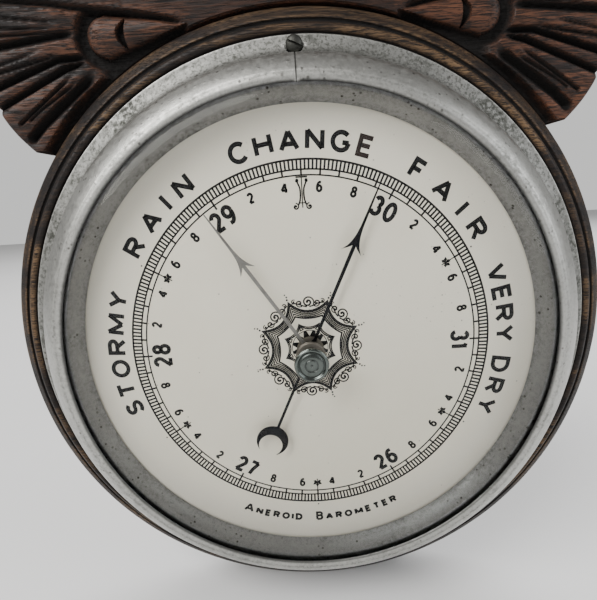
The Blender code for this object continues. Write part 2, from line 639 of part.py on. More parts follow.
def make_arbor_frame():
    """Brass frame that holds the arbor between a lower and an upper bar, on two pillars."""
    outer = [(-33, 32.0), (-10, 31.8), (-10, 24.9), (10, 24.9), (10, 31.8), (33, 32.0), (33, 33.4),
             (-33, 33.4)]
    window = [(-8.6, 26.2), (8.6, 26.2), (8.6, 31.7), (-8.6, 31.7)]
    outlines = [[(x * MM, z * MM) for x, z in outline] for outline in (outer, window)]
    frame = plate("arbor_frame", outlines, 8 * MM, BRASS, rotation=ON_EDGE_XZ)
    frame = as_mesh(frame)
    cut(frame, cylinder_cutter("arbor_hole", 1.2 * MM, 23 * MM, 35 * MM, steps=12))
    screw = [(0.0, 34.5), (1.8, 34.4), (1.8, 33.7), (1.0, 33.7), (1.0, 28.4), (0.0, 28.0)]
    points = [(radius * MM, depth * MM) for radius, depth in screw]
    for side, x in {"left": -30.0 * MM, "right": 30.0 * MM}.items():
        pillar = rod("frame_pillar_" + side, 2.4 * MM, BASE_HIGH + GAP, 31.7 * MM, BRASS, centre=(x, 0))
        hole = cylinder_cutter("frame_screw_hole_" + side, 1.3 * MM, 27.6 * MM, 35 * MM, (x, 0), steps=12)
        cut(pillar, hole)
        cut(frame, hole)
        turned("frame_screw_" + side, points, STEEL, BENCH, (x, 0, 0), 12)


def make_hairspring():
    """Flat spiral between the collet and the frame's side."""
    turns, count, inner, outer = 3, 48, 2.6 * MM, 7.6 * MM
    points = []
    for i in range(count + 1):
        part = i / count
        angle = 2 * math.pi * turns * part
        radius = inner + (outer - inner) * part
        points.append((radius * math.cos(angle), radius * math.sin(angle), 27.7 * MM))
    wire("hairspring", points, 0.2 * MM, BLUED, resolution=0)


def make_adjuster(axis):
    points = [(0.0, 16.8), (1.6, 16.8), (2.1, 16.3), (2.1, 4.3), (3.6, 4.3), (3.6, 3.0), (0.0, 3.0)]
    screw = turned("adjusting_screw", [(r * MM, h * MM) for r, h in points], STEEL, axis,
                   steps=SMALL_STEPS)
    slot_low, slot_high = (-0.5 * MM, -4 * MM, 2.4 * MM), (0.5 * MM, 4 * MM, 3.6 * MM)
    cut(screw, box_cutter("adjuster_slot", slot_low, slot_high, axis))


def main():
    case = make_turned_case()
    board = make_crest()
    make_dowels(case, board)
    make_hanger()
    make_rear_cover()
    make_bezel()
    make_glass()
    make_reflector()
    make_dial()
    make_bush()
    make_drum()
    make_base()
    make_bridge()
    make_brackets()
    make_arbor_frame()
    make_hairspring()
    pointer_axis = empty("pointer_axis", BENCH, (0, 0, DIAL_FACE), (0, 0, -math.radians(POINTER_REST)))
    set_axis = empty("set_hand_axis", BENCH, (0, 0, DIAL_FACE), (0, 0, -math.radians(SET_HAND_REST)))
    spring_axis = empty("spring_axis", BENCH, (0, SPRING_HINGE_Y, SPRING_Z))
    link_axis = empty("link_axis", BENCH, (0, LEVER_TIP_Y, SPRING_Z))
    shaft_axis = empty("shaft_axis", BENCH, (0, SHAFT_Y, SHAFT_Z))
    chain_axis = empty("chain_axis", BENCH, (ARM_X, SHAFT_Y, SHAFT_Z + ARM_TOP))
    capsule_axis = empty("capsule_axis", BENCH)
    adjuster_axis = empty("adjuster_axis", BENCH, (0, ACCESS_Y, 0))
    make_pointer(pointer_axis)
    make_set_hand(set_axis)
    make_capsule(capsule_axis)
    make_spring_and_lever(spring_axis)
    make_linkage(link_axis, shaft_axis, chain_axis)
    make_adjuster(adjuster_axis)


main()
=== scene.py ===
"""Looks of the wall aneroid barometer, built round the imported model.

Sizes in this script are in millimetres. A dial height is counted from the dial's printed face towards
the viewer, and a clock angle runs clockwise from 12 o'clock.
"""

import json
import math

import bmesh
import bpy
import numpy as np
from mathutils import Matrix, Vector, geometry, noise


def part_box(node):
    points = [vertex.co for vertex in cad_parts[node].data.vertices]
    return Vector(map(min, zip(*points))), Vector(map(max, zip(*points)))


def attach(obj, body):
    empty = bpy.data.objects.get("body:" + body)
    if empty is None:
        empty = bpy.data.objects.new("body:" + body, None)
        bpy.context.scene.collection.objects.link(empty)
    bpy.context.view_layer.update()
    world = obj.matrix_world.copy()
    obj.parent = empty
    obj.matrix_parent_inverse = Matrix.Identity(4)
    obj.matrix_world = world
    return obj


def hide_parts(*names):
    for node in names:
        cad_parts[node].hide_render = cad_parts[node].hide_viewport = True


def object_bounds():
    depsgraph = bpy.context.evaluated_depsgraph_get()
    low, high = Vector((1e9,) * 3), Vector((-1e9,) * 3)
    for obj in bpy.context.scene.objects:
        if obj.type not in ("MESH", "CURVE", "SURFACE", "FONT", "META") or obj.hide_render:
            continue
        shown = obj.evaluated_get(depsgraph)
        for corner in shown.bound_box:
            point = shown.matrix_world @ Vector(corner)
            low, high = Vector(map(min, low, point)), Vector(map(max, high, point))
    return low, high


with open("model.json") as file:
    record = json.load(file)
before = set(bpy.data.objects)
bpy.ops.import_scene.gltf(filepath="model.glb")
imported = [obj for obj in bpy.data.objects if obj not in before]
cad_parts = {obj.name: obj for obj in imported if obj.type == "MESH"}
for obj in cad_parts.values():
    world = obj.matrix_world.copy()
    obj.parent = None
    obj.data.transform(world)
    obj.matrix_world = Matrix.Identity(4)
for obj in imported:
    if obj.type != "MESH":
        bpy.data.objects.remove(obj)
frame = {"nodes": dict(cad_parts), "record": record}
cad_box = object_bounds()

MM = 0.001
FACE_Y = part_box("dial_plate")[0].y * 1000
BACK = FACE_Y                   # dial height of the case's flat back plane
RING = 64.4                     # outer ring of the printed scale
MIDDLE_RING = RING * 0.951
INNER_RING = RING * 0.923


def at(x, up, height):
    """World point in metres of a point right of, above and in front of the dial's centre."""
    return x * MM, (FACE_Y - height) * MM, up * MM


# ---- materials

class Nodes:
    """Short names for building a material's node tree."""

    def __init__(self, name):
        self.material = bpy.data.materials.new(name)
        self.material.use_nodes = True
        self.tree = self.material.node_tree
        self.shader = self.tree.nodes["Principled BSDF"]

    def add(self, kind, **values):
        node = self.tree.nodes.new(kind)
        for key, value in values.items():
            if hasattr(node, key):
                setattr(node, key, value)
            else:
                node.inputs[key.replace("_", " ")].default_value = value
        return node

    def link(self, source, target):
        """Feeds an input with a number, a colour or another node's output."""
        if isinstance(source, (int, float)):
            target.default_value = source
        elif isinstance(source, tuple):
            target.default_value = (*source, 1.0)
        else:
            self.tree.links.new(source, target)

    def place(self, stretch=1):
        """Object coordinates in millimetres, scaled by one number or by one for each axis."""
        stretch = (stretch,) * 3 if isinstance(stretch, (int, float)) else stretch
        coordinates = self.add("ShaderNodeTexCoord").outputs["Object"]
        mapping = self.add("ShaderNodeMapping")
        mapping.inputs["Scale"].default_value = [1000 * s for s in stretch]
        self.link(coordinates, mapping.inputs["Vector"])
        return mapping.outputs["Vector"]

    def noise(self, stretch, detail=3.0, roughness=0.5, distortion=0.0):
        node = self.add("ShaderNodeTexNoise", Scale=1.0, Detail=detail, Roughness=roughness,
                        Distortion=distortion)
        self.link(self.place(stretch), node.inputs["Vector"])
        return node.outputs["Fac"]

    def specks(self, scale, low, high):
        """Scattered round dots: 1 at a dot's middle, 0 outside it."""
        cells = self.add("ShaderNodeTexVoronoi", Scale=1.0)
        self.link(self.place(scale), cells.inputs["Vector"])
        return self.remap(cells.outputs["Distance"], low, high, 1.0, 0.0)

    def remap(self, value, low, high, out_low=0.0, out_high=1.0):
        node = self.add("ShaderNodeMapRange")
        node.interpolation_type = "SMOOTHSTEP"
        keys = ("Value", "From Min", "From Max", "To Min", "To Max")
        for key, number in zip(keys, (value, low, high, out_low, out_high)):
            self.link(number, node.inputs[key])
        return node.outputs["Result"]

    def math(self, operation, first, second=0.0):
        node = self.add("ShaderNodeMath", operation=operation)
        for socket, value in zip(node.inputs, (first, second)):
            self.link(value, socket)
        return node.outputs[0]

    def times(self, first, second):
        return self.math("MULTIPLY", first, second)

    def plus(self, first, second):
        return self.math("ADD", first, second)

    def mix(self, factor, first, second):
        node = self.add("ShaderNodeMix", data_type="RGBA")
        for socket, value in ((0, factor), (6, first), (7, second)):
            self.link(value, node.inputs[socket])
        return node.outputs[2]

    def attribute(self, name):
        return self.add("ShaderNodeAttribute", attribute_name=name).outputs["Fac"]

    def radius(self):
        """Distance from the pointer's axis, in millimetres."""
        split = self.add("ShaderNodeSeparateXYZ")
        self.link(self.place(), split.inputs[0])
        square = self.plus(*(self.times(split.outputs[axis], split.outputs[axis]) for axis in (0, 2)))
        return self.math("SQRT", square)

    def bump(self, height, strength, distance):
        node = self.add("ShaderNodeBump", Strength=strength, Distance=distance)
        self.link(height, node.inputs["Height"])
        return node.outputs["Normal"]

    def finish(self, colour, roughness, normal=None, metallic=0.0, **fixed):
        fixed |= {"Base Color": colour, "Roughness": roughness, "Normal": normal, "Metallic": metallic}
        for name, value in fixed.items():
            if value is not None:
                self.link(value, self.shader.inputs[name.replace("_", " ")])
        return self.material


def oak(name, brown=(0.030, 0.017, 0.010), rubbed_and_highlight_gold=(0.155, 0.093, 0.046), shine=0.46):
    """Dark stained oak: grain and open pores run along X. The hollows are taken near-black as painted shade,
    and the arrises are lightened golden, partly by rubbing and partly as painted highlight.
    """
    n = Nodes(name)
    broad = n.noise((0.012, 0.06, 0.07), 4, 0.6)
    streak = n.noise((0.05, 0.6, 0.85), 6, 0.68, 0.4)
    fine = n.noise((0.16, 1.6, 2.6), 4, 0.7)
    pores = n.remap(n.noise((0.13, 2.1, 3.0), 3, 0.55), 0.54, 0.66)
    tone = n.mix(n.remap(broad, 0.3, 0.72), (0.016, 0.0095, 0.0065), brown)
    tone = n.mix(n.remap(streak, 0.44, 0.6, 0.0, 0.85), (0.006, 0.004, 0.0035), tone)
    rubbed = n.remap(n.times(n.remap(fine, 0.36, 0.62), n.remap(broad, 0.38, 0.62)), 0.1, 0.7)
    # Lighter golden brown where the per-point mask is set: rubbed arrises, and painted highlight on the bead,
    # the ring's edges, the cone tops and the leaf tops.
    worn_and_painted_light = n.times(n.attribute("wear_and_painted_light"), rubbed)
    tone = n.mix(n.times(worn_and_painted_light, 0.9), tone, rubbed_and_highlight_gold)
    tone = n.mix(n.times(pores, 0.8), tone, (0.003, 0.0025, 0.002))
    # Painted shade: the hollow mask takes cuts, grooves, trenches and the step under the bezel towards
    # near-black.
    hollow = n.attribute("hollow")
    tone = n.mix(n.times(hollow, 0.95), tone, (0.0022, 0.0018, 0.0016))
    rough = n.remap(n.plus(fine, n.times(pores, 0.4)), 0.3, 1.1, shine, 0.85)
    rough = n.plus(rough, n.times(hollow, 0.35))
    grain = n.math("SUBTRACT", n.times(streak, 0.5), n.times(pores, 0.6))
    normal = n.bump(grain, 0.6, 0.0004)
    return n.finish(tone, rough, normal, Specular_IOR_Level=0.26)


def nickel(name, base=(0.47, 0.47, 0.445), stain=(0.06, 0.063, 0.053), rough=0.38, freckle=0.7, dull=0.85):
    """Old nickel plate: cloudy, freckled with small dark spots, and matte and mottled where the per-point
    rubbing mask is set. That mask also paints shade into the knob's grooves, and the hollow mask paints
    near-black shade.
    """
    n = Nodes(name)
    cloud = n.noise(0.05, 5, 0.62)
    mottle = n.noise(0.5, 6, 0.75)
    sand = n.noise(0.95, 4, 0.7)
    spots = n.specks(0.42, 0.10, 0.26)
    gate = n.remap(n.noise(0.11, 3), 0.44, 0.6)
    patch = n.times(n.remap(cloud, 0.4, 0.66), n.remap(mottle, 0.40, 0.6))
    # Darker and matte with the rubbing mask: rubbed plating on the bezel's flange, and painted shade in the
    # knob's grooves.
    worn_and_painted_light = n.attribute("wear_and_painted_light")
    tone = n.mix(n.times(worn_and_painted_light, dull), base, tuple(c * 0.46 for c in base))
    dirt = n.times(patch, n.plus(0.3, n.times(worn_and_painted_light, 0.7)))
    tone = n.mix(n.times(dirt, 0.75), tone, stain)
    grit = n.times(n.remap(sand, 0.47, 0.62), n.plus(0.14, n.times(worn_and_painted_light, 0.52)))
    tone = n.mix(grit, tone, stain)
    tone = n.mix(n.times(n.times(spots, gate), freckle), tone, (0.05, 0.045, 0.04))
    # Painted shade: near-black at the bezel's inner lip, on the reflector under the bezel's lip and in the
    # knob's grooves.
    tone = n.mix(n.attribute("hollow"), tone, (0.03, 0.03, 0.03))
    rough_map = n.plus(n.remap(mottle, 0.3, 0.7, rough - 0.05, rough + 0.1),
                       n.times(n.plus(dirt, n.times(worn_and_painted_light, 0.8)), 0.2))
    normal = n.bump(n.plus(mottle, n.plus(spots, n.times(sand, 0.5))), 0.16, 0.0003)
    return n.finish(tone, rough_map, normal, 1.0)


def metal(name, base, dark, rough, brushed=0.4, depth=0.15):
    """A plain worked metal with fine marks and cloudy tarnish."""
    n = Nodes(name)
    cloud = n.noise(0.15, 4, 0.6)
    marks = n.noise(brushed, 5, 0.7)
    tone = n.mix(n.remap(cloud, 0.4, 0.68, 0.0, 0.5), base, dark)
    tone = n.mix(n.remap(marks, 0.5, 0.75, 0.0, 0.35), tone, dark)
    normal = n.bump(marks, depth, 0.0002)
    return n.finish(tone, n.remap(marks, 0.3, 0.75, rough - 0.07, rough + 0.14), normal, 1.0)


def dial_paint():
    """Off-white dial: faint clouds, greyer towards the rim as painted shade, and small foxing spots."""
    n = Nodes("dial_paint")
    cloud = n.noise(0.02, 4, 0.55)
    tooth = n.noise(1.3, 4, 0.6)
    spots = n.specks(0.16, 0.020, 0.055)
    dust = n.specks(0.4, 0.05, 0.13)
    dust_gate = n.remap(n.noise(0.03, 2), 0.5, 0.68)
    tone = n.mix(n.remap(cloud, 0.3, 0.7), (0.915, 0.87, 0.74), (0.96, 0.92, 0.795))
    # Painted shade: greyer from 58 mm out, towards the bezel.
    rim = n.remap(n.radius(), 58.0, 82.0)
    tone = n.mix(n.times(rim, 0.28), tone, (0.55, 0.54, 0.51))
    tone = n.mix(n.times(spots, 0.75), tone, (0.23, 0.2, 0.16))
    tone = n.mix(n.times(n.times(dust, dust_gate), 0.5), tone, (0.3, 0.28, 0.24))
    return n.finish(tone, n.remap(tooth, 0.3, 0.7, 0.42, 0.6), n.bump(tooth, 0.06, 0.0002))


def ink(name, colour):
    """Printed black, a little thin and brown in places."""
    n = Nodes(name)
    worn_and_painted_light = n.noise(1.1, 4, 0.7)
    tone = n.mix(n.remap(worn_and_painted_light, 0.5, 0.72, 0.0, 0.6), colour, tuple(c + 0.025 for c in colour))
    return n.finish(tone, n.remap(worn_and_painted_light, 0.3, 0.7, 0.5, 0.7), Specular_IOR_Level=0.12)


def pane():
    """Thin clear glass: it lets light through and mirrors at its faces, with a little dust."""
    n = Nodes("plate_glass")
    dust = n.noise(0.3, 5, 0.7)
    clear = n.add("ShaderNodeBsdfTransparent", Color=(0.985, 0.985, 0.98, 1.0))
    mirror = n.add("ShaderNodeBsdfGlossy", Color=(0.96, 0.98, 0.97, 1.0))
    n.link(n.remap(dust, 0.4, 0.8, 0.02, 0.12), mirror.inputs["Roughness"])
    edge = n.add("ShaderNodeFresnel", IOR=1.2)
    mixed = n.add("ShaderNodeMixShader")
    for source, socket in zip((edge, clear, mirror), mixed.inputs):
        n.link(source.outputs[0], socket)
    n.link(mixed.outputs[0], n.tree.nodes["Material Output"].inputs["Surface"])
    n.tree.nodes.remove(n.shader)
    return n.material


def floor_paint():
    n = Nodes("floor_paint")
    cloud = n.noise(0.004, 2)
    return n.finish(n.mix(cloud, (0.74, 0.74, 0.74), (0.78, 0.78, 0.78)), 0.6)


OAK = oak("oak_turned")
OAK_CARVED = oak("oak_carved", brown=(0.046, 0.017, 0.009), rubbed_and_highlight_gold=(0.16, 0.062, 0.030), shine=0.42)
NICKEL = nickel("nickel_bezel")
REFLECTOR = nickel("nickel_reflector", (0.37, 0.37, 0.385), (0.15, 0.15, 0.15), 0.42, 1.0, 0.2)
KNOB = nickel("nickel_knob", (0.12, 0.136, 0.127), (0.042, 0.05, 0.046), 0.15, 0.4)
DIAL = dial_paint()
INK = ink("dial_ink", (0.008, 0.008, 0.009))
INK_RED = ink("dial_ink_faded", (0.030, 0.020, 0.018))
GLASS = pane()
BRASS = metal("aged_brass", (0.155, 0.142, 0.122), (0.068, 0.06, 0.052), 0.5, depth=0.6)
BRASS_BRIGHT = metal("lacquered_brass", (0.40, 0.27, 0.11), (0.27, 0.17, 0.07), 0.34)
STEEL = metal("bright_steel", (0.42, 0.42, 0.43), (0.22, 0.21, 0.2), 0.34)
BLUED = metal("blued_steel", (0.009, 0.010, 0.013), (0.02, 0.016, 0.014), 0.48)
SILVERED = metal("silvered_brass", (0.27, 0.265, 0.255), (0.15, 0.14, 0.13), 0.46)
TARNISHED = metal("tarnished_steel", (0.07, 0.071, 0.065), (0.022, 0.021, 0.018), 0.52, depth=0.5)
IRON = metal("black_iron", (0.05, 0.05, 0.052), (0.025, 0.025, 0.025), 0.6, depth=0.4)

BY_SLOT = {"oak": OAK, "nickel": NICKEL, "glass": GLASS, "dial_paint": DIAL, "brass": BRASS_BRIGHT,
           "steel": STEEL, "blued_steel": BLUED, "silvered_brass": SILVERED,
           "tarnished_steel": TARNISHED, "iron": IRON}
for part in frame["record"]["subparts"]:
    node = frame["nodes"][part["node"]]
    node.data.materials.clear()
    node.data.materials.append(BY_SLOT[part["material_slot"]])
for name in ("knob_bush", "bush_nut", "pointer_collet", "pointer_cap", "set_hand_collet"):
    frame["nodes"][name].data.materials[0] = BRASS


# ---- meshes

def show(name, data):
    """A new object in the scene."""
    made = bpy.data.objects.new(name, data)
    bpy.context.scene.collection.objects.link(made)
    return made


def solid_mesh(name, points, faces):
    mesh = bpy.data.meshes.new(name)
    mesh.from_pydata([tuple(p) for p in points], [], faces)
    shape = bmesh.new()
    shape.from_mesh(mesh)
    bmesh.ops.recalc_face_normals(shape, faces=shape.faces)
    shape.to_mesh(mesh)
    shape.free()
    return mesh


def shade(mesh, sharp):
    """Smooth shading but for edges sharper than an angle."""
    mesh.polygons.foreach_set("use_smooth", [True] * len(mesh.polygons))
    mesh.set_sharp_from_angle(angle=math.radians(sharp))


def piece(name, points, faces, body, surface, replaces=(), values=None, sharp=32.0):
    """A mesh piece from world points in metres, which rides a body."""
    mesh = solid_mesh(name, points, faces)
    shade(mesh, sharp)
    for key, numbers in (values or {}).items():
        layer = mesh.attributes.new(key, "FLOAT", "POINT")
        layer.data.foreach_set("value", np.asarray(numbers, np.float32))
    mesh.materials.append(surface)
    made = show(name, mesh)
    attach(made, body)
    if replaces:
        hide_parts(*replaces)
    return made


def smooth_line(points, parts=4):
    """Catmull-Rom line through points of any number of values."""
    longest = max(len(p) for p in points)
    points = [np.array([*p, *[0] * (longest - len(p))], float) for p in points]
    padded = [2 * points[0] - points[1], *points, 2 * points[-1] - points[-2]]
    line = []
    for a, b, c, d in zip(padded, padded[1:], padded[2:], padded[3:]):
        for i in range(parts):
            t = i / parts
            line.append(0.5 * (2 * b + (c - a) * t + (2 * a - 5 * b + 4 * c - d) * t * t
                               + (3 * b - a - 3 * c + d) * t ** 3))
    return [tuple(p) for p in (*line, points[-1])]


def lathe(name, profile, body, surface, replaces=(), angles=360, warp=None, axis=(0, 0)):
    """A turned solid from (radius, dial height, rubbing and painted light, painted hollow shade) points, the
    last two optional.

    A profile that starts on the axis ends on it too, and any other is closed into a ring.
    """
    profile = [(*p, 0, 0)[:4] for p in profile]
    if isinstance(angles, int):
        angles = [360 * i / angles for i in range(angles)]
    points, values, rings = [], [], []
    for radius, height, worn_and_painted_light, dark in profile:
        if radius < 1e-6:
            rings.append([len(points)] * len(angles))
            points.append(at(axis[0], axis[1], height))
            values.append((worn_and_painted_light, dark))
            continue
        ring = []
        for angle in angles:
            r, h, w, d = warp(radius, height, worn_and_painted_light, dark, angle) if warp else (radius, height, worn_and_painted_light, dark)
            turn = math.radians(angle)
            ring.append(len(points))
            points.append(at(axis[0] + r * math.sin(turn), axis[1] + r * math.cos(turn), h))
            values.append((w, d))
        rings.append(ring)
    if profile[0][0] >= 1e-6:
        rings.append(rings[0])
    faces = []
    count = len(angles)
    for a, b in zip(rings, rings[1:]):
        for i in range(count):
            j = (i + 1) % count
            corners = [a[i], a[j], b[j], b[i]]
            face = [c for k, c in enumerate(corners) if c != corners[k - 1]]
            if len(face) > 2:
                faces.append(face)
    worn_and_painted_light, dark = zip(*values)
    return piece(name, points, faces, body, surface, replaces, {"wear_and_painted_light": worn_and_painted_light, "hollow": dark})


def sheet_profile(line, thickness):
    """A closed profile from the (radius, height, rubbing and painted light, painted hollow shade) points of a
    sheet's outer side.

    The material lies on the line's right.
    """
    inner = []
    for i, point in enumerate(line):
        a, b = line[max(i - 1, 0)], line[min(i + 1, len(line) - 1)]
        along = Vector((b[0] - a[0], b[1] - a[1])).normalized()
        inner.append((point[0] + along.y * thickness, point[1] - along.x * thickness, 0.5, 0))
    return [*line, *reversed(inner)]


def spun(x, y, turn, centre=(0, 0)):
    """A point turned clockwise by degrees, then moved to a centre."""
    cos, sin = math.cos(math.radians(turn)), math.sin(math.radians(turn))
    return centre[0] + x * cos + y * sin, centre[1] + y * cos - x * sin


def inset(outline, amount):
    """A closed outline moved to its left by an amount."""
    moved = []
    for i, (x, y) in enumerate(outline):
        a, b = Vector(outline[i - 1]), Vector(outline[(i + 1) % len(outline)])
        along = (b - a).normalized()
        moved.append((x - along.y * amount, y + along.x * amount))
    return moved


def wall(low, high, count):
    """Faces between two closed rings of points, from the index of each ring's first point."""
    return [[low + i, low + (i + 1) % count, high + (i + 1) % count, high + i] for i in range(count)]


def slab(outlines, low, high, chamfer=0.0, turn=0.0):
    """(points, faces) of a flat solid between two dial heights, its front edge chamfered.

    The first closed outline is the outside, and the others are holes.
    """
    triangles = geometry.tessellate_polygon([[Vector((*p[:2], 0)) for p in line] for line in outlines])
    levels = [(low, 0.0), (high - chamfer, 0.0), (high, chamfer)] if chamfer else [(low, 0.0), (high, 0.0)]
    points, faces, count = [], [], sum(map(len, outlines))
    for height, amount in levels:
        for outline in outlines:
            area = sum(a[0] * b[1] - b[0] * a[1] for a, b in zip([outline[-1], *outline], outline))
            side = amount if (area > 0) == (outline is outlines[0]) else -amount
            points += [at(*spun(x, y, turn), height) for x, y in inset(outline, side)]
    top = (len(levels) - 1) * count
    faces += [list(t) for t in triangles] + [[c + top for c in reversed(t)] for t in triangles]
    start = 0
    for outline in outlines:
        for level in range(start, start + top, count):
            faces += wall(level, level + count, len(outline))
        start += len(outline)
    return points, faces


def circle(radius, count, centre=(0, 0)):
    turns = [2 * math.pi * i / count for i in range(count)]
    return [(centre[0] + radius * math.cos(t), centre[1] + radius * math.sin(t)) for t in turns]


def cut(obj, *cutters):
    """Takes (points, faces) solids away from a piece."""
    for points, faces in cutters:
        tool = show("cutter", solid_mesh("cutter", points, faces))
        boolean = obj.modifiers.new("cut", "BOOLEAN")
        boolean.operation, boolean.solver, boolean.object = "DIFFERENCE", "EXACT", tool
        bpy.context.view_layer.update()
        graph = bpy.context.evaluated_depsgraph_get()
        result = bpy.data.meshes.new_from_object(obj.evaluated_get(graph), depsgraph=graph)
        obj.modifiers.clear()
        obj.data = result
        bpy.data.objects.remove(tool)
    shade(obj.data, 32)


def drum(radius, low, high, centre=(0, 0), count=48, high_radius=None):
    """(points, faces) of a cylinder or cone between two dial heights."""
    top = radius if high_radius is None else high_radius
    points = [at(x, y, low) for x, y in circle(radius, count, centre)]
    points += [at(x, y, high) for x, y in circle(top, count, centre)]
    return points, [*wall(0, count, count), list(range(count)), list(range(count, 2 * count))]


def block(x0, x1, y0, y1, low, high, turn=0.0, centre=(0, 0)):
    corners = [spun(x, y, turn, centre) for x, y in ((x0, y0), (x1, y0), (x1, y1), (x0, y1))]
    points = [at(*corner, h) for h in (low, high) for corner in corners]
    return points, [[0, 1, 2, 3], [4, 5, 6, 7], [0, 1, 5, 4], [1, 2, 6, 5], [2, 3, 7, 6], [3, 0, 4, 7]]


def ramp(value, low, high):
    t = min(1.0, max(0.0, (value - low) / (high - low)))
    return t * t * (3 - 2 * t)


# ---- oak body

SCREWS = {"top": 0.0, "right": 120.0, "left": -120.0}
SCREW_R = 99.6
SCREW_SEAT = -8.5


def clock(radius, angle):
    return radius * math.sin(math.radians(angle)), radius * math.cos(math.radians(angle))


def make_turned_case():
    # Painted shade: every step point under the bezel is made near-black.
    step = [(94.4, -2.7), (94.9, -5.0), (95.6, -7.2), (97.0, -9.2), (99.2, -10.1), (101.4, -10.8),
            (103.4, -10.8)]
    # Third values lighten the bead and the arrises golden, partly by rubbing and partly as painted highlight;
    # fourth values are painted shade at the bezel's edge and in the quirk.
    front = [(103.6, -10.8, 0, 1), (104.0, -10.4, 0.5, 0.2), (104.7, -10.1, 1, 0), (105.5, -10.1, 1, 0),
             (106.3, -10.6, 0.7, 0), (106.9, -11.5, 0.2, 0.3), (107.3, -12.6, 0, 0.9), (107.8, -13.2, 0, 1),
             (108.3, -13.1, 0, 0.8), (108.6, -12.8, 0.8, 0), (109.0, -12.9, 0.8, 0), (109.8, -13.5, 0.25, 0.1),
             (110.8, -14.3, 0.3, 0), (111.7, -15.1, 0.6, 0), (112.4, -16.0, 0.7, 0), (113.0, -17.2, 0.35, 0),
             (113.5, -18.8, 0.15, 0.05), (113.7, -21.0, 0.1, 0.15), (113.6, -30.0, 0.12, 0.1),
             (113.1, -35.3, 0.5, 0), (112.6, -36.0, 0.2, 0)]
    line = [(62.6, -2.7), *((*p, 0, 1) for p in step), *smooth_line(front, 3), (72.2, BACK), (72.2, -34.1),
            (62.6, -34.1)]

    def warp(r, h, worn_and_painted_light, dark, angle):
        turn = math.radians(angle)
        wobble = noise.noise(Vector((3 * math.sin(turn), 3 * math.cos(turn), r * 0.12)))
        dent = noise.noise(Vector((26 * math.sin(turn), 26 * math.cos(turn), r * 0.5)))
        if 103.7 < r < 113.2 and h > -19:
            h += 0.05 * wobble - 0.14 * max(0.0, dent - 0.25)
        worn_and_painted_light *= 0.75 + 0.5 * wobble
        return r, h, worn_and_painted_light, dark

    body = lathe("case_turned_body", line, "case", OAK, ["turned_case"], 540, warp)
    for angle in SCREWS.values():
        centre = clock(SCREW_R, angle)
        cut(body, drum(1.5, -21, -8, centre, 24))


BITE_R = 114.0                  # the board's edge round the turned body
WING = 33.0                     # distance from the middle where the carving of a wing begins
CONE_TIP = 34.5
COLLAR = Vector((61.5, 106.2))
COLLAR_R = 6.1
WING_SCALE = 1.0324             # of the board to the drawing of the wing, about a point above the centre
WING_FOOT = 51.8
# Cuts of the right wing: points from the outer end inwards, half width and depth.
CUTS = (([(108.0, 114.6), (93.6, 113.1), (75.5, 110.8)], 0.75, 0.9),
        ([(108.0, 110.4), (94.3, 109.9), (77.7, 109.3)], 0.75, 1.0),
        ([(108.0, 107.8), (94.8, 108.0), (72.2, 108.3)], 0.8, 1.1),
        ([(109.0, 103.4), (95.5, 105.1), (70.5, 107.9)], 1.55, 2.6),
        ([(108.0, 96.8), (96.7, 99.8), (83.5, 103.1)], 0.75, 0.9),
        ([(108.0, 94.9), (97.3, 97.5), (76.6, 101.7)], 0.9, 1.2),
        ([(109.0, 89.6), (98.2, 93.5), (78.4, 100.1), (67.0, 100.8)], 1.35, 2.9),
        ([(106.0, 84.2), (99.7, 87.0), (75.9, 97.3), (67.8, 99.8)], 1.25, 2.7),
        ([(94.0, 81.6), (89.3, 84.9), (73.6, 95.5)], 0.85, 1.5),
        ([(90.5, 82.6), (86.4, 85.5), (72.0, 93.7)], 0.8, 1.3),
        ([(91.0, 77.0), (86.6, 80.9), (66.3, 95.4)], 1.9, 3.2))


def upper_groove(u):
    """Height of the long cut over a wing, at a distance from the middle."""
    stations = ((CONE_TIP, 108.2), (42, 110.0), (49.4, 111.5), (63.9, 113.6), (78.1, 115.8), (92.6, 117.5),
                (108, 118.8))
    for (a, va), (b, vb) in zip(stations, stations[1:]):
        if u <= b:
            return va + (vb - va) * (u - a) / (b - a)
    return stations[-1][1]


def wing_point(x, up):
    """A point of the board as the wing's drawing has it."""
    return abs(x) / WING_SCALE, WING_FOOT + (up - WING_FOOT) / WING_SCALE


def cut_depth(u, up):
    """(depth of the V cuts, broad fall of the leaf beside the strong ones) at a point."""
    deepest, fall = 0.0, 0.0
    for line, half, depth in CUTS:
        inner = math.hypot(u - line[-1][0], up - line[-1][1])
        fade = ramp(inner, -1.0, 6.0)
        for (ax, ay), (bx, by) in zip(line, line[1:]):
            dx, dy = bx - ax, by - ay
            t = min(1.0, max(0.0, ((u - ax) * dx + (up - ay) * dy) / (dx * dx + dy * dy)))
            gap = math.hypot(u - ax - dx * t, up - ay - dy * t)
            if gap < half:
                deepest = max(deepest, depth * (1 - gap / half) * fade)
            if depth > 2 and gap < 7:
                fall = max(fall, 0.6 * math.exp(-(gap / 2.2) ** 2) * fade)
    return deepest, fall


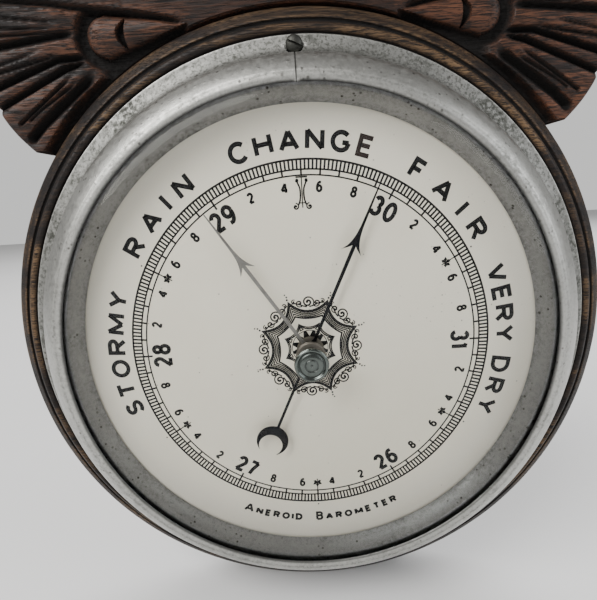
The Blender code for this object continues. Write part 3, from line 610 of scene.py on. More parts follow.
def cone(u, v):
    """(depth, rubbing and painted highlight, painted shade, distance outside it) of the cone with its round
    collar: painted highlight on its rounded top, painted shade at its flanks and in the crescent nick.
    """
    along = u - CONE_TIP
    axis = 108.2 - 0.075 * along
    half = 7.4 * min(1.0, max(along, 0.02) / 29.5) ** 0.92
    ball = math.hypot(u - COLLAR.x, v - COLLAR.y)
    off = abs(v - axis) / half
    outside = (off - 1) * half if u < COLLAR.x else ball - COLLAR_R
    round_off = math.sqrt(max(0.0, 1 - min(1.0, off) ** 2))
    if u > COLLAR.x:
        round_off = math.sqrt(max(0.0, 1 - min(1.0, ball / COLLAR_R) ** 2)) ** 0.7
    rise = v - 106.4
    edge = 57.4 - 0.17 * rise * rise
    thick = 2.4 * (1 - (rise / 4.3) ** 2)
    nick = 0.0
    if thick > 0:
        nick = ramp(u, edge - thick - 0.25, edge - thick + 0.35) * ramp(edge + 0.3 - u, 0, 0.6)
    depth = 0.15 + min(3.4, 0.58 * half) * (1 - round_off) + 2.2 * nick
    return depth, 0.6 * round_off * (1 - nick), max(nick, ramp(-round_off, -0.35, 0.0)), outside


def blend(first, second, share):
    return [a * (1 - share) + b * share for a, b in zip(first, second)]


def carve(x, up):
    """(depth below the plain board, rubbing and painted highlight, painted shade) of the carving at a point.
    """
    u, v = wing_point(x, up)
    plain = 0.12 * noise.noise(Vector((x * 0.05, up * 0.35, 1.7)))
    flat = (plain * 0.5, 0.12, 0.0)
    if u < WING:
        return flat
    groove = v - upper_groove(u)
    fade = ramp(u, WING, 40.0)
    sunk = max(0.0, 1 - abs(groove) / 1.3) * fade
    # Just above the long groove the board is lighter, partly by rubbing and partly as painted highlight; the
    # sunk groove is painted shade.
    above = (plain + 2.2 * sunk, 0.12 + 0.3 * ramp(2.8, 1.3, groove), ramp(sunk, 0.15, 0.8))
    if groove > 1.0:
        return above
    depth, wear_and_painted_light, hollow, outside = cone(u, v)
    ball = math.hypot(u - COLLAR.x, v - COLLAR.y)
    rim = math.hypot(x, up) - BITE_R
    rough = 0.3 * noise.noise(Vector((u * 0.9, v * 0.9, 0)))
    trench = 1 - ramp(ball, 8.6, 10.6)
    below = ramp(COLLAR.x + 4 - u, 0.0, 4.0) if v < 107 else 0.0
    ground = max(trench, below, 1 - ramp(rim, 0.8, 3.0))
    cuts, fall = cut_depth(u, v)
    reach = math.hypot(u - 53.6, v - 108.3)
    streak = noise.noise(Vector((u * 0.05, v * 1.3, 3 if x < 0 else 8)))
    leaf = 0.2 + cuts + fall + 1.1 * (1 - ramp(reach, 14.0, 26.0)) + 0.1 * streak
    leaf = leaf * (1 - ground) + (4.0 + rough) * ground
    # Painted shade: the V cuts and the sunk ground go near-black. Leaf tops away from the cuts and falls are
    # lighter, partly by rubbing and partly as painted highlight.
    leaf_hollow = max(min(1.0, cuts / 1.15) ** 1.15, ground)
    leaf_wear_and_highlight = max(0.0, (0.5 + 0.6 * streak) * (1 - leaf_hollow) * (1 - 0.7 * fall))
    out = 1.0 if u < CONE_TIP else ramp(outside, -0.25, 0.75)
    low = blend((depth, wear_and_painted_light, hollow), (leaf, leaf_wear_and_highlight, leaf_hollow), out)
    up_share = ramp(groove, -0.6, 0.6)
    mixed = blend(low, above, up_share)
    mixed[0] += 1.2 * sunk * (1 - up_share)
    mixed[2] = max(mixed[2], ramp(sunk, 0.3, 0.9))
    return blend(flat, mixed, ramp(u, WING, 36.5))


def bow(x, y, wide, tall, start, end, count=16):
    """Part of an ellipse round (x, y), with its angles counted from the right towards the top."""
    angles = [math.radians(start + (end - start) * i / count) for i in range(count + 1)]
    return [(x + wide * math.cos(a), y + tall * math.sin(a)) for a in angles]


def arc(centre, radius, start, end, count):
    return bow(*centre, radius, radius, start, end, count - 1)


def bezier(a, b, c, d, count):
    points = []
    for i in range(count):
        t = i / count
        weights = ((1 - t) ** 3, 3 * t * (1 - t) ** 2, 3 * t * t * (1 - t), t ** 3)
        points.append(tuple(sum(w * p[k] for w, p in zip(weights, (a, b, c, d))) for k in (0, 1)))
    return points


def crest_outline():
    bite = arc((0, 0), BITE_R, 90.0, 39.2, 90)
    fan = arc((65.3, 104.6), 42.3, -48.0, 20.0, 48)
    shoulder = fan[-1]
    fillet, neck, ear, crown = (shoulder[0] + 1.5, shoulder[1] + 3.0), (66, 133), (44, 143), (0.0, 158.0)
    cove = bezier(fillet, (90, 123), (75, 125), neck, 26)
    rise = bezier(neck, (62, 139), (54, 143), ear, 16)
    arch = bezier((42, 144.5), (28, 146), (20, 158.0), crown, 30)
    right = [*bite, *fan, *cove, *rise, ear, *arch, crown]
    return right + [(-x, y) for x, y in reversed(right) if x > 1e-6]


def inside(point, outline):
    x, y = point
    found = False
    for (xa, ya), (xb, yb) in zip(outline, outline[1:] + outline[:1]):
        if (ya > y) != (yb > y) and x < xa + (y - ya) * (xb - xa) / (yb - ya):
            found = not found
    return found


def make_crest():
    top = 20.0 + BACK                    # dial height of the plain board
    outline = crest_outline()
    rim = inset(outline, 0.5)
    core = inset(outline, 1.0)
    grid = []
    for step, fine in ((0.42, True), (2.2, False)):
        for i in range(int(218 / step) + 1):
            for j in range(int(90 / step) + 1):
                x, y = -109 + i * step + (step / 2 if j % 2 else 0), 70 + j * step
                u, v = wing_point(x, y)
                carved = u > WING and v < upper_groove(u) + 1.8
                if carved == fine and math.hypot(x, y) > BITE_R + 0.6 and inside((x, y), core):
                    grid.append((x, y))
    count = len(rim)
    edges = [(i, (i + 1) % count) for i in range(count)]
    verts, _, triangles, *_ = geometry.delaunay_2d_cdt([Vector(p) for p in [*rim, *grid]], edges, [], 1, 1e-6)
    points, values = [], []
    for vert in verts:
        depth, *look = carve(vert.x, vert.y)
        points.append(at(vert.x, vert.y, top - depth))
        values.append(look)
    faces = [list(t) for t in triangles]
    previous = list(range(count))
    for ring, height in ((outline, None), (outline, BACK + 0.5), (rim, BACK)):
        start = len(points)
        for i, (x, y) in enumerate(ring):
            points.append(at(x, y, top - carve(*rim[i])[0] - 0.6 if height is None else height))
            values.append((0.4, 0.15))
        for i in range(count):
            j = (i + 1) % count
            faces.append([previous[i], start + i, start + j, previous[j]])
        previous = list(range(start, start + count))
    back = geometry.tessellate_polygon([[Vector((*p, 0)) for p in rim]])
    faces += [[previous[i] for i in t] for t in back]
    worn_and_painted_light, dark = zip(*values)
    board = piece("crest_carved_board", points, faces, "case", OAK_CARVED, ["crest_board"],
                  {"wear_and_painted_light": worn_and_painted_light, "hollow": dark}, 55)
    cut(board, block(-12.3, 12.3, 129.7, 175, BACK - 1, BACK + 2.6))


# ---- front metalwork and glass

def make_bezel():
    # Fourth values: painted shade at the inner lip, by the glass.
    line = [(85.2, 9.9, 0.3, 0.9), (85.6, 10.3, 0.2, 0.7), (86.3, 10.5, 0.1), (87.2, 10.42, 0.2),
            (88.0, 10.12, 0.4), (88.8, 9.8, 0.1), (90.6, 8.5, 0), (92.4, 6.7, 0), (93.7, 5.1, 0),
            (94.5, 3.6, 0.1), (95.0, 1.6, 0.4), (95.4, -0.8, 0.7), (96.0, -3.8, 0.9), (96.8, -5.9, 1),
            (98.0, -7.4, 1), (99.6, -8.35, 1), (101.4, -8.95, 1), (102.4, -9.15, 0.8), (102.8, -9.3, 0),
            (103.0, -9.8, 0)]
    profile = sheet_profile(smooth_line(line, 4), 0.8)
    angles = {round(i * 0.9, 3) for i in range(400)}
    angles |= {round(a % 360, 3) for a in (-0.19, -0.1, -0.05, 0.05, 0.1, 0.19)}

    def warp(r, h, worn_and_painted_light, dark, angle):
        off = (angle + 180) % 360 - 180
        if abs(off) < 0.2 and r < 97:
            seam = 1 - ramp(abs(off), 0.04, 0.17)
            r, h, dark = r - 0.18 * seam, h - 0.2 * seam, 0.85 * seam
        return r, h, worn_and_painted_light, dark

    ring = lathe("bezel_ring", profile, "case", NICKEL, ["bezel"], sorted(angles), warp)
    for angle in SCREWS.values():
        centre = clock(SCREW_R, angle)
        cut(ring, drum(3.2, SCREW_SEAT - 0.1, 3, centre), drum(1.8, -14, -6, centre))


def bezel_screw(side, angle, slot_turn):
    """A round slotted screw head on its shank."""
    radius, height, shank, length = 2.8, 2.3, 1.2, 9.8
    dome = [(radius * math.sin(t), SCREW_SEAT + height * (0.26 + 0.74 * math.cos(t)))
            for t in (math.pi / 2 * i / 9 for i in range(10))]
    line = [*dome, (radius * 0.98, SCREW_SEAT), (shank, SCREW_SEAT), (shank, SCREW_SEAT - length),
            (0.0, SCREW_SEAT - length - shank)]
    centre = clock(SCREW_R, angle)
    head = lathe(f"bezel_screw_head_{side}", line, "case", TARNISHED,
                 [f"bezel_screw_{side}"], 48, axis=centre)
    half, reach, floor, over = 0.12 * radius, 2 * radius, SCREW_SEAT + height * 0.48, SCREW_SEAT + height * 2
    cut(head, block(-half, half, -reach, reach, floor, over, slot_turn, centre))


def make_front():
    make_bezel()
    for (side, angle), turn in zip(SCREWS.items(), (-66.0, 20.0, -35.0)):
        bezel_screw(side, angle, turn)
    glass = [(3.3, 10.2), (3.5, 10.4), (81.9, 10.4), (82.2, 10.3), (86.6, 8.7), (86.8, 8.5), (86.8, 7.7),
             (86.6, 7.6), (3.5, 7.6), (3.3, 7.8)]
    lathe("dial_glass_pane", glass, "case", GLASS, ["dial_glass"], 256)
    # Fourth values: painted shade on the reflector's top, under the bezel's lip.
    slope = [(87.4, 7.2, 0.1, 0.6), (86.0, 7.25, 0.2, 0.4), (84.9, 7.0, 0.4, 0.2),
             (84.3, 6.0, 0.3, 0.1), (83.0, 3.9, 0.2), (81.7, 1.7, 0.6), (81.1, 0.75, 1)]
    band = sheet_profile(smooth_line(slope, 3), -0.6)
    lathe("reflector_band", band, "case", REFLECTOR, ["reflector_ring"], 320)


# ---- hands

def hand_half(tip, shoulder, barb, barb_half, notch, eye, neck):
    """Right half of a hand from its tip to its eye: spear point, swept barbs and a thin blade."""
    head = smooth_line([(0.5, shoulder), (0.9, barb + 0.62 * (shoulder - barb)),
                        (1.9, barb + 0.26 * (shoulder - barb)), (barb_half, barb)], 5)
    under = smooth_line([(barb_half, barb), (1.5, notch - 0.9), (0.62, notch)], 4)[1:]
    blade = [(neck, eye + 1.4), (neck + 0.35, eye + 0.4)]
    turn = math.degrees(math.asin((neck + 0.5) / eye))
    ring = arc((0, 0), eye, 90 - turn, -90 + turn, 22)
    return [(0.16, tip), (0.34, shoulder + 0.5 * (tip - shoulder)), *head, *under,
            *blade, *ring]


def both(half):
    return half + [(-x, y) for x, y in reversed(half) if abs(x) > 1e-6]


def make_hands():
    rest = {"main": 24.8, "set": -33.7}
    half = hand_half(61.5, 46.0, 37.2, 3.4, 39.5, 3.2, 0.55)
    disc_r, disc_y, bite_r, bite_y = 6.0, -38.5, 4.46, -40.56
    reach = bite_y - disc_y
    chord = (disc_r ** 2 - bite_r ** 2 + reach ** 2) / (2 * reach)
    wide = math.sqrt(disc_r ** 2 - chord ** 2)
    horn = math.degrees(math.atan2(chord, wide))
    inner = math.degrees(math.atan2(disc_y + chord - bite_y, wide))
    tail = [(0.5, -4.2), (0.5, disc_y + disc_r + 0.1), *arc((0, disc_y), disc_r, 84, horn, 34)[1:],
            *arc((0, bite_y), bite_r, inner, 90, 30)[1:]]
    points, faces = slab([both([*half, *tail]), circle(1.3, 32)], 3.4, 3.9, 0.12, rest["main"])
    piece("pointer_blade", points, faces, "pointer", BLUED, ["main_pointer"])
    half = hand_half(58.6, 43.4, 35.5, 3.1, 37.7, 3.2, 0.6)
    points, faces = slab([both(half), circle(1.7, 32)], 5.5, 5.9, 0.1, rest["set"])
    piece("set_hand_blade", points, faces, "set_hand", SILVERED, ["set_hand"])


def make_hub():
    collet = [(1.2, 3.1), (4.4, 3.1), (4.75, 2.95), (4.9, 2.6), (4.8, 2.2), (4.0, 1.8), (3.4, 1.4), (1.2, 1.2)]
    lathe("pointer_boss", collet, "pointer", BRASS, ["pointer_collet"], 64)
    cap = [(1.2, 4.9), (1.9, 4.9), (2.4, 4.75), (2.7, 4.4), (2.7, 4.2), (1.2, 4.2)]
    lathe("pointer_cap_ring", cap, "pointer", BRASS, ["pointer_cap"], 48)
    sleeve = [(1.6, 11.6), (4.2, 11.6), (4.7, 11.5), (5.1, 11.1), (5.2, 10.7), (3.0, 10.7), (3.0, 8.3),
              (1.6, 8.3)]
    lathe("glass_bush", sleeve, "case", BRASS, ["knob_bush"], 64)
    # Third and fourth values darken the centre and the turned grooves of the top: painted shade.
    knob = [(0.0, 21.15, 0, 0.5), (0.25, 21.2, 0, 0.5), (0.45, 21.42, 0.2), (0.7, 21.45), (1.7, 21.47, 0.3),
            (1.95, 21.32, 0.4, 0.4), (2.2, 21.3, 0.4, 0.4), (2.45, 21.4), (3.4, 21.25), (3.9, 21.05, 0.5),
            (4.15, 20.85, 0.5, 0.35), (4.4, 20.95), (4.75, 21.35), (5.15, 21.45), (5.5, 21.2), (5.72, 20.7),
            (5.7, 20.1), (5.45, 19.5), (4.9, 18.7), (4.1, 17.5), (3.3, 16.2), (2.85, 15.0), (2.75, 14.0),
            (3.0, 13.2), (3.5, 12.7), (3.6, 12.3), (3.5, 12.0), (1.6, 12.0), (1.6, 16.0), (0.0, 16.0)]
    top = smooth_line(knob[:-5], 3)
    lathe("knob_turned", [*top, *knob[-4:]], "set_hand", KNOB, ["setting_knob"], 96)


# ---- printed dial

class Print:
    """Collects flat ink shapes and makes them one thin raised piece."""

    HIGH, LOW = 0.045, -0.03

    def __init__(self):
        self.points, self.faces = [], []

    def take(self, points, faces):
        start = len(self.points)
        self.points += points
        self.faces += [[start + i for i in face] for face in faces]

    def polygon(self, outline, *holes):
        self.take(*slab([list(outline), *map(list, holes)], self.LOW, self.HIGH))

    def stroke(self, line, width, closed=False):
        """A band along a line: width is one number or one per point."""
        line = [Vector(p) for p in line]
        line = [p for i, p in enumerate(line) if i == 0 or (p - line[i - 1]).length > 0.02 or len(line) < 3]
        n = len(line)
        widths = [width] * n if isinstance(width, (int, float)) else width[:n]
        for i in range(1, 0 if closed else n - 1):
            if (line[i] - line[i - 1]).normalized().dot((line[i + 1] - line[i]).normalized()) < -0.2:
                self.stroke(line[:i + 1], widths[:i + 1])
                self.stroke(line[i:], widths[i:])
                return
        left, right = [], []
        for i, point in enumerate(line):
            a = (point - line[i - 1]).normalized() if i or closed else None
            b = (line[(i + 1) % n] - point).normalized() if i < n - 1 or closed else None
            a, b = a or b, b or a
            normal_a, normal_b = Vector((-a.y, a.x)), Vector((-b.y, b.x))
            mitre = normal_a + normal_b
            if mitre.length < 0.35:
                mitre = normal_b.copy()
            mitre.normalize()
            reach = widths[i] / 2 / max(0.5, mitre.dot(normal_b))
            left.append(point + mitre * reach)
            right.append(point - mitre * reach)
        points = [at(p.x, p.y, h) for h in (self.HIGH, self.LOW) for side in (left, right) for p in side]
        faces = []
        spans = n if closed else n - 1
        for i in range(spans):
            j = (i + 1) % n
            faces += [[i, j, n + j, n + i], [2 * n + j, 2 * n + i, 3 * n + i, 3 * n + j],
                      [j, i, 2 * n + i, 2 * n + j], [n + i, n + j, 3 * n + j, 3 * n + i]]
        if not closed:
            faces += [[0, n, 3 * n, 2 * n], [n - 1, 2 * n - 1, 4 * n - 1, 3 * n - 1]]
        self.take(points, faces)

    def dot(self, centre, radius, count=10):
        self.polygon(circle(radius, count, centre))

    def made(self, name, surface=INK):
        piece(name, self.points, self.faces, "case", surface, sharp=20)


# Centre lines of the letters and numerals in a unit box, with each one's width over its height.
LETTERS = {
    "A": (0.98, [[(0, 0), (0.5, 1), (1, 0)], [(0.18, 0.3), (0.82, 0.3)]]),
    "B": (0.72, [[(0, 0), (0, 1), (0.55, 1), *bow(0.55, 0.77, 0.4, 0.23, 90, -90), (0, 0.54)],
                 [(0.5, 0.54), *bow(0.58, 0.27, 0.42, 0.27, 90, -90), (0, 0)]]),
    "C": (0.96, [bow(0.52, 0.5, 0.52, 0.5, 42, 318, 26)]),
    "D": (0.9, [[(0, 0), (0, 1), (0.45, 1), *bow(0.45, 0.5, 0.55, 0.5, 90, -90, 22), (0, 0), (0, 0.1)]]),
    "E": (0.76, [[(1, 1), (0, 1), (0, 0), (1, 0)], [(0, 0.52), (0.9, 0.52)]]),
    "F": (0.72, [[(1, 1), (0, 1), (0, 0)], [(0, 0.5), (0.86, 0.5)]]),
    "G": (1.0, [[*bow(0.5, 0.5, 0.5, 0.5, 45, 318, 26), (0.97, 0.44), (0.58, 0.44)]]),
    "H": (0.92, [[(0, 0), (0, 1)], [(1, 0), (1, 1)], [(0, 0.52), (1, 0.52)]]),
    "I": (0.15, [[(0.5, 0), (0.5, 1)]]),
    "M": (1.1, [[(0, 0), (0, 1), (0.5, 0.12), (1, 1), (1, 0)]]),
    "N": (0.92, [[(0, 0), (0, 1), (1, 0), (1, 1)]]),
    "O": (1.0, [bow(0.5, 0.5, 0.5, 0.5, 0, 352, 30) + [(1, 0.5)]]),
    "R": (0.86, [[(0, 0), (0, 1), (0.6, 1), *bow(0.6, 0.755, 0.4, 0.245, 90, -90), (0, 0.51)],
                 [(0.5, 0.51), (1, 0)]]),
    "S": (0.8, [[*bow(0.5, 0.745, 0.44, 0.255, 28, 262, 16), *bow(0.5, 0.25, 0.5, 0.25, 82, -152, 18)]]),
    "T": (0.88, [[(0, 1), (1, 1)], [(0.5, 1), (0.5, 0)]]),
    "V": (0.92, [[(0, 1), (0.5, 0), (1, 1)]]),
    "Y": (0.92, [[(0, 1), (0.5, 0.46), (1, 1)], [(0.5, 0.46), (0.5, 0)]]),
    "0": (0.62, [bow(0.5, 0.5, 0.5, 0.5, 0, 350, 24) + [(1, 0.5)]]),
    "1": (0.3, [[(0.0, 0.76), (0.85, 1.0), (0.85, 0)]]),
    "2": (0.6, [[*bow(0.5, 0.72, 0.46, 0.28, 165, -30, 14), (0, 0), (1, 0)]]),
    "3": (0.6, [[*bow(0.47, 0.76, 0.42, 0.24, 160, -70, 14)], [*bow(0.47, 0.27, 0.5, 0.27, 75, -165, 16)]]),
    "4": (0.74, [[(0.72, 0), (0.72, 1), (0, 0.28), (1, 0.28)]]),
    "6": (0.6, [[(0.86, 0.97), *bow(0.62, 0.4, 0.62, 0.58, 100, 180, 8)],
                bow(0.5, 0.3, 0.5, 0.3, 0, 350, 20) + [(1, 0.3)]]),
    "7": (0.58, [[(0, 1), (1, 1), (0.55, 0.42), (0.38, 0)]]),
    "8": (0.6, [bow(0.5, 0.77, 0.41, 0.23, -90, 262, 18) + [(0.5, 0.54)],
                bow(0.5, 0.27, 0.5, 0.27, 90, 442, 20) + [(0.5, 0.54)]]),
    "9": (0.6, [[(0.14, 0.03), *bow(0.38, 0.6, 0.62, 0.58, -80, 0, 8)],
                bow(0.5, 0.7, 0.5, 0.3, 0, 350, 20) + [(1, 0.7)]]),
}


def draw_letter(page, letter, middle, low, height, stroke, angle, inward):
    """One upright letter whose foot is at a radius and whose middle is at a clock angle."""
    share, lines = LETTERS[letter]
    out = Vector(clock(1, angle))
    origin = out * low
    if inward:
        out = -out
    right = Vector((out.y, -out.x))
    wide, tall = max(share * height - stroke, 0.0), height - stroke
    for line in lines:
        page.stroke([origin + right * ((x - 0.5) * wide + middle) + out * (stroke / 2 + y * tall)
                     for x, y in line], stroke)


def word(page, text, start, end, foot, height, stroke, capital=1.0, pages=None):
    """Letters between two clock angles: tops outward, or upright where the angles run back."""
    way = 1 if end > start else -1
    heights = [height * (1.0 if i else capital) for i in range(len(text))]
    widths = [LETTERS[c][0] * h for c, h in zip(text, heights)]
    middle_r = foot + way * height / 2
    gap = (math.radians(abs(end - start)) * middle_r - sum(widths)) / (len(text) - 1)
    place = 0.0
    for i, (letter, width, tall) in enumerate(zip(text, widths, heights)):
        angle = start + way * math.degrees((place + width / 2) / middle_r)
        draw_letter((pages or {}).get(i, page), letter, 0.0, foot, tall, stroke, angle, way < 0)
        place += width + gap


def numerals(page, text, angle, foot_r, height, stroke, spacing):
    """A number centred on a clock angle: tops outward in the upper half, upright in the lower half."""
    inward = abs((angle + 180) % 360 - 180) > 91
    widths = [LETTERS[c][0] * height for c in text]
    total = sum(widths) + spacing * (len(text) - 1)
    place = -total / 2
    for letter, width in zip(text, widths):
        low = foot_r + height if inward else foot_r
        draw_letter(page, letter, place + width / 2, low, height, stroke, angle, inward)
        place += width + spacing


def radial(page, angle, low, high, width):
    page.stroke([clock(low, angle), clock(high, angle)], width)


def spiral(page, centre, radius, start, turns, width, hand=1):
    count = int(14 * abs(turns)) + 2
    line, widths = [], []
    for i in range(count + 1):
        part = i / count
        r = radius * (1 - 0.86 * part)
        a = math.radians(start + hand * 360 * turns * part)
        line.append((centre[0] + r * math.cos(a), centre[1] + r * math.sin(a)))
        widths.append(width * (0.75 + 0.55 * part))
    page.stroke(line, widths)
    page.dot(line[-1], width * 0.8, 8)


def star(tip, mid):
    """Closed outline of an eight-point star with hollow sides."""
    line = []
    for k in range(8):
        angle = 22.5 + 45 * k
        a, b = Vector(clock(tip, angle)), Vector(clock(tip, angle + 45))
        sag = Vector(clock(mid, angle + 22.5)) - (a + b) / 2
        line += [tuple(a + (b - a) * (i / 10) + sag * 4 * (i / 10) * (1 - i / 10)) for i in range(10)]
    return line


def rosette(page):
    levels = 6
    for i in range(levels):
        t = i / (levels - 1)
        tip, mid = RING * (0.283 - 0.086 * t), RING * (0.2125 - 0.042 * t)
        page.stroke(star(tip, mid), 0.62 if i in (0, levels - 1) else 0.46, True)
    for tip, mid, width in ((0.149, 0.119, 0.42), (0.139, 0.110, 0.5)):
        page.stroke(star(RING * tip, RING * mid), width, True)
    teeth = [[*(clock(RING * 0.099, 30 * k + a) for a in (-10, 0, 10)), clock(RING * 0.068, 30 * k)]
             for k in range(12)]
    page.polygon(circle(RING * 0.103, 48), circle(RING * 0.05, 32), *teeth)
    for k in range(8):
        tip = 22.5 + 45 * k
        page.stroke([clock(RING * 0.131, tip), clock(RING * 0.112, tip - 5), clock(RING * 0.112, tip + 5)],
                    0.36, True)
        for i, r in enumerate((0.301, 0.316, 0.331)):
            page.dot(clock(RING * r, tip + (0.8 if i == 1 else 0)), 0.38 - 0.05 * i, 8)
        side = 45 * k
        page_angle = 90 - side
        spiral(page, clock(RING * 0.262, side), RING * 0.034, page_angle - 120, 1.55, 0.58)
        for hand in (-1, 1):
            spiral(page, clock(RING * 0.2605, side + hand * 10.6), RING * 0.0225,
                   page_angle - hand * 60 + 180, 1.2, 0.5, hand)
            spiral(page, clock(RING * 0.277, side + hand * 17.0), RING * 0.0135,
                   page_angle + hand * 40, 0.95, 0.4, -hand)
            link = [clock(RING * r, side + hand * lean) for r, lean in ((0.236, 1.5), (0.243, 6.5),
                                                                        (0.262, 13.8), (0.272, 19.5))]
            page.stroke(smooth_line(link, 5), 0.5)


def fleuron(page, angle):
    """A little five-leaf star on a line through the scale."""
    radial(page, angle, RING * 0.844, INNER_RING, 0.38)
    page.dot(clock(RING * 1.022, angle), 0.3, 8)
    middle = Vector(clock(RING * 0.868, angle))
    for lean, length in ((0, 2.1), (62, 2.0), (-62, 2.0), (118, 1.7), (-118, 1.7)):
        way = Vector(clock(1, angle + lean))
        side = Vector((-way.y, way.x))
        waist = middle + way * length * 0.55
        leaf = (middle, waist + side * 0.6, middle + way * length, waist - side * 0.6)
        page.polygon([tuple(p) for p in leaf])


def column(page):
    """The fluted ornament under 12 o'clock: a waisted stem between two pairs of curls."""
    for side in (-1, 1):
        stem = [(side * 0.028, 0.905), (side * 0.021, 0.885), (side * 0.011, 0.86), (side * 0.009, 0.83),
                (side * 0.012, 0.80), (side * 0.02, 0.777)]
        page.stroke([(x * RING, y * RING) for x, y in smooth_line(stem, 3)], 0.55)
        spiral(page, (side * 0.036 * RING, 0.768 * RING), 0.018 * RING, 90, 1.1, 0.52, side)
        spiral(page, (side * 0.026 * RING, 0.896 * RING), 0.010 * RING, 90, 0.9, 0.42, side)
    page.stroke([(0, 0.925 * RING), (0, 0.762 * RING)], 0.38)
    page.stroke([(-0.03 * RING, 0.914 * RING), (0.03 * RING, 0.914 * RING)], 0.5)
    page.stroke([(-0.020 * RING, 0.786 * RING), (0.020 * RING, 0.786 * RING)], 0.34)


def make_print():
    scale = Print()
    for radius, width in ((RING, 0.66), (MIDDLE_RING, 0.54), (INNER_RING, 0.5)):
        scale.stroke([clock(radius, 1.5 * i) for i in range(240)], width, True)
    for i in range(300):
        low, width = (MIDDLE_RING if i % 5 else INNER_RING, 0.64) if i % 50 != 25 else (RING * 0.898, 0.66)
        radial(scale, 1.2 * i, low, RING, width)
    for angle in (60, -60, 120, -120, 180):
        fleuron(scale, angle)
    column(scale)
    scale.made("dial_print_scale")

    numbers = Print()
    for place, text in enumerate(("29", "30", "31", "26", "27", "28")):
        angle = 60 * place - 30
        numerals(numbers, text, angle, RING * 0.789, RING * 0.108, 1.42, 0.62)
        for k, digit in enumerate("2468", 1):
            numerals(numbers, digit, angle + 12 * k, RING * 0.838, RING * 0.058, 0.82, 0)
    numbers.made("dial_print_numbers")

    words, red = Print(), Print()
    for text, start, end in (("STORMY", -108.7, -69.7), ("RAIN", -58.5, -31.5), ("CHANGE", -19.4, 19.8),
                             ("FAIR", 31.0, 59.0), ("VERY", 68.2, 91.6), ("DRY", 96.0, 114.8)):
        faded = {5: red} if text == "CHANGE" else None
        word(words, text, start, end, RING * 1.038, RING * 0.108, 1.5, pages=faded)
    for text, start, end in (("ANEROID", 204.5, 185.4), ("BAROMETER", 181.0, 154.3)):
        word(words, text, start, end, RING * 1.140, RING * 0.049, 0.92, 1.28)
    words.made("dial_print_words")
    red.made("dial_print_faded_letter", INK_RED)

    ornament = Print()
    rosette(ornament)
    ornament.made("dial_print_rosette")


# ---- back

def sunk_head(name, centre, radius, low, shank, length, turn, node):
    """A countersunk screw seen from behind, its slotted head flush with the back."""
    line = [(0.0, low), (radius - 0.1, low), (radius, low + 0.15), (shank, low + radius - shank + 0.1),
            (shank, low + length - shank), (0.0, low + length)]
    head = lathe(name, line, "case", STEEL, [node], 40, axis=centre)
    cut(head, block(-0.35, 0.35, -2 * radius, 2 * radius, low - 1, low + 0.7, turn, centre))


def make_back():
    cover_line = [(0.0, BACK), (71.5, BACK), (71.9, BACK + 0.35), (71.9, BACK + 1.6), (0.0, BACK + 1.6)]
    cover = lathe("rear_cover_disc", cover_line, "case", BRASS_BRIGHT, ["rear_cover"], 220)
    holes = [drum(4.5, BACK - 1, BACK + 3, (0, 30.0))]
    for i, angle in enumerate((60.0, 180.0, 300.0), 1):
        holes.append(drum(4.2, BACK - 1.0, BACK + 1.7, clock(67.0, angle), high_radius=1.5))
        sunk_head(f"rear_cover_screw_head_{i}", clock(67.0, angle), 2.5, BACK + 0.1, 1.2, 10.0, 37.0 * i,
                  f"rear_cover_screw_{i}")
    cut(cover, *holes)
    hole = (0, 168)
    outline = [(12, 130.4), (11.6, 130.0), (-11.6, 130.0), (-12, 130.4), *arc(hole, 12, 180, 0, 40)]
    points, faces = slab([outline, circle(4.2, 48, hole)], BACK + 0.3, BACK + 2.3, 0.15)
    hanger = piece("hanging_plate", points, faces, "case", BRASS, ["hanger_plate"])
    sinks = []
    for label, height, turn in (("lower", 135.0, 15.0), ("upper", 149.0, -50.0)):
        sinks.append(drum(3.9, BACK - 0.4, BACK + 2.6, (0, height), high_radius=1.35))
        sunk_head(f"hanging_screw_head_{label}", (0, height), 2.9, BACK + 0.4, 1.2, 12.0, turn,
                  f"hanger_screw_{label}")
    cut(hanger, *sinks)


# ---- stage

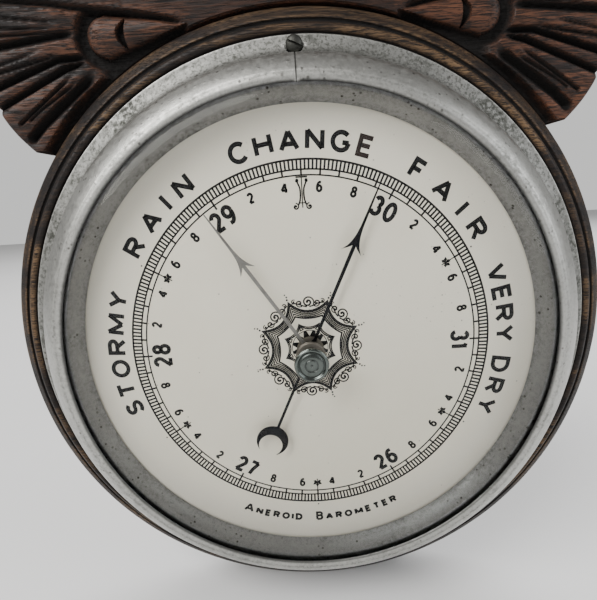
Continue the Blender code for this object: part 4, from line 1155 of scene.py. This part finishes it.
def make_stage():
    """A pale floor, an even pale world, three soft lamps and the camera."""
    low, far = cad_box[0].z - 0.0005, 3.0
    mesh = bpy.data.meshes.new("floor")
    corners = [(x, y, low) for x, y in ((-far, -far), (far, -far), (far, far), (-far, far))]
    mesh.from_pydata(corners, [], [[0, 1, 2, 3]])
    mesh.materials.append(floor_paint())
    show("floor", mesh)

    world = bpy.data.worlds.new("studio")
    world.use_nodes = True
    tree = world.node_tree
    lit, seen = tree.nodes["Background"], tree.nodes.new("ShaderNodeBackground")
    for node, red, strength in ((lit, 0.82, 0.42), (seen, 0.81, 0.92)):
        node.inputs[0].default_value = (red, 0.81, 0.80, 1.0)
        node.inputs[1].default_value = strength
    path, pick = tree.nodes.new("ShaderNodeLightPath"), tree.nodes.new("ShaderNodeMixShader")
    for socket, source in enumerate((path.outputs["Is Camera Ray"], lit.outputs[0], seen.outputs[0])):
        tree.links.new(source, pick.inputs[socket])
    tree.links.new(pick.outputs[0], tree.nodes["World Output"].inputs["Surface"])
    bpy.context.scene.world = world

    for name, place, size, power, colour in (("key", (-1.3, -1.4, 1.7), 1.6, 84.0, (1.0, 0.985, 0.965)),
                                             ("fill", (1.9, -1.0, 0.9), 1.5, 23.0, (0.96, 0.975, 1.0)),
                                             ("behind", (0.4, 1.5, 1.4), 1.6, 40.0, (1.0, 1.0, 1.0))):
        data = bpy.data.lights.new(name, "AREA")
        data.size, data.energy, data.color = size, power, colour
        lamp = show(name, data)
        lamp.location = place
        lamp.rotation_euler = (Vector((0, -0.02, 0.02)) - Vector(place)).to_track_quat("-Z", "Y").to_euler()

    data = bpy.data.cameras.new("camera")
    data.lens, data.sensor_width, data.shift_y = 30.0, 36.0, 0.088
    eye = (-0.0016, -0.2110, 0.0518)
    right, up = Vector((0.9983, -0.0017, -0.0578)), Vector((0.0558, 0.2932, 0.9545))
    back = right.cross(up).normalized()
    turn = Matrix((right, back.cross(right).normalized(), back)).transposed().to_4x4()
    camera = show("camera", data)
    camera.matrix_world = Matrix.Translation(eye) @ turn
    bpy.context.scene.camera = camera


make_turned_case()
make_crest()
make_front()
make_hands()
make_hub()
make_print()
make_back()
make_stage()
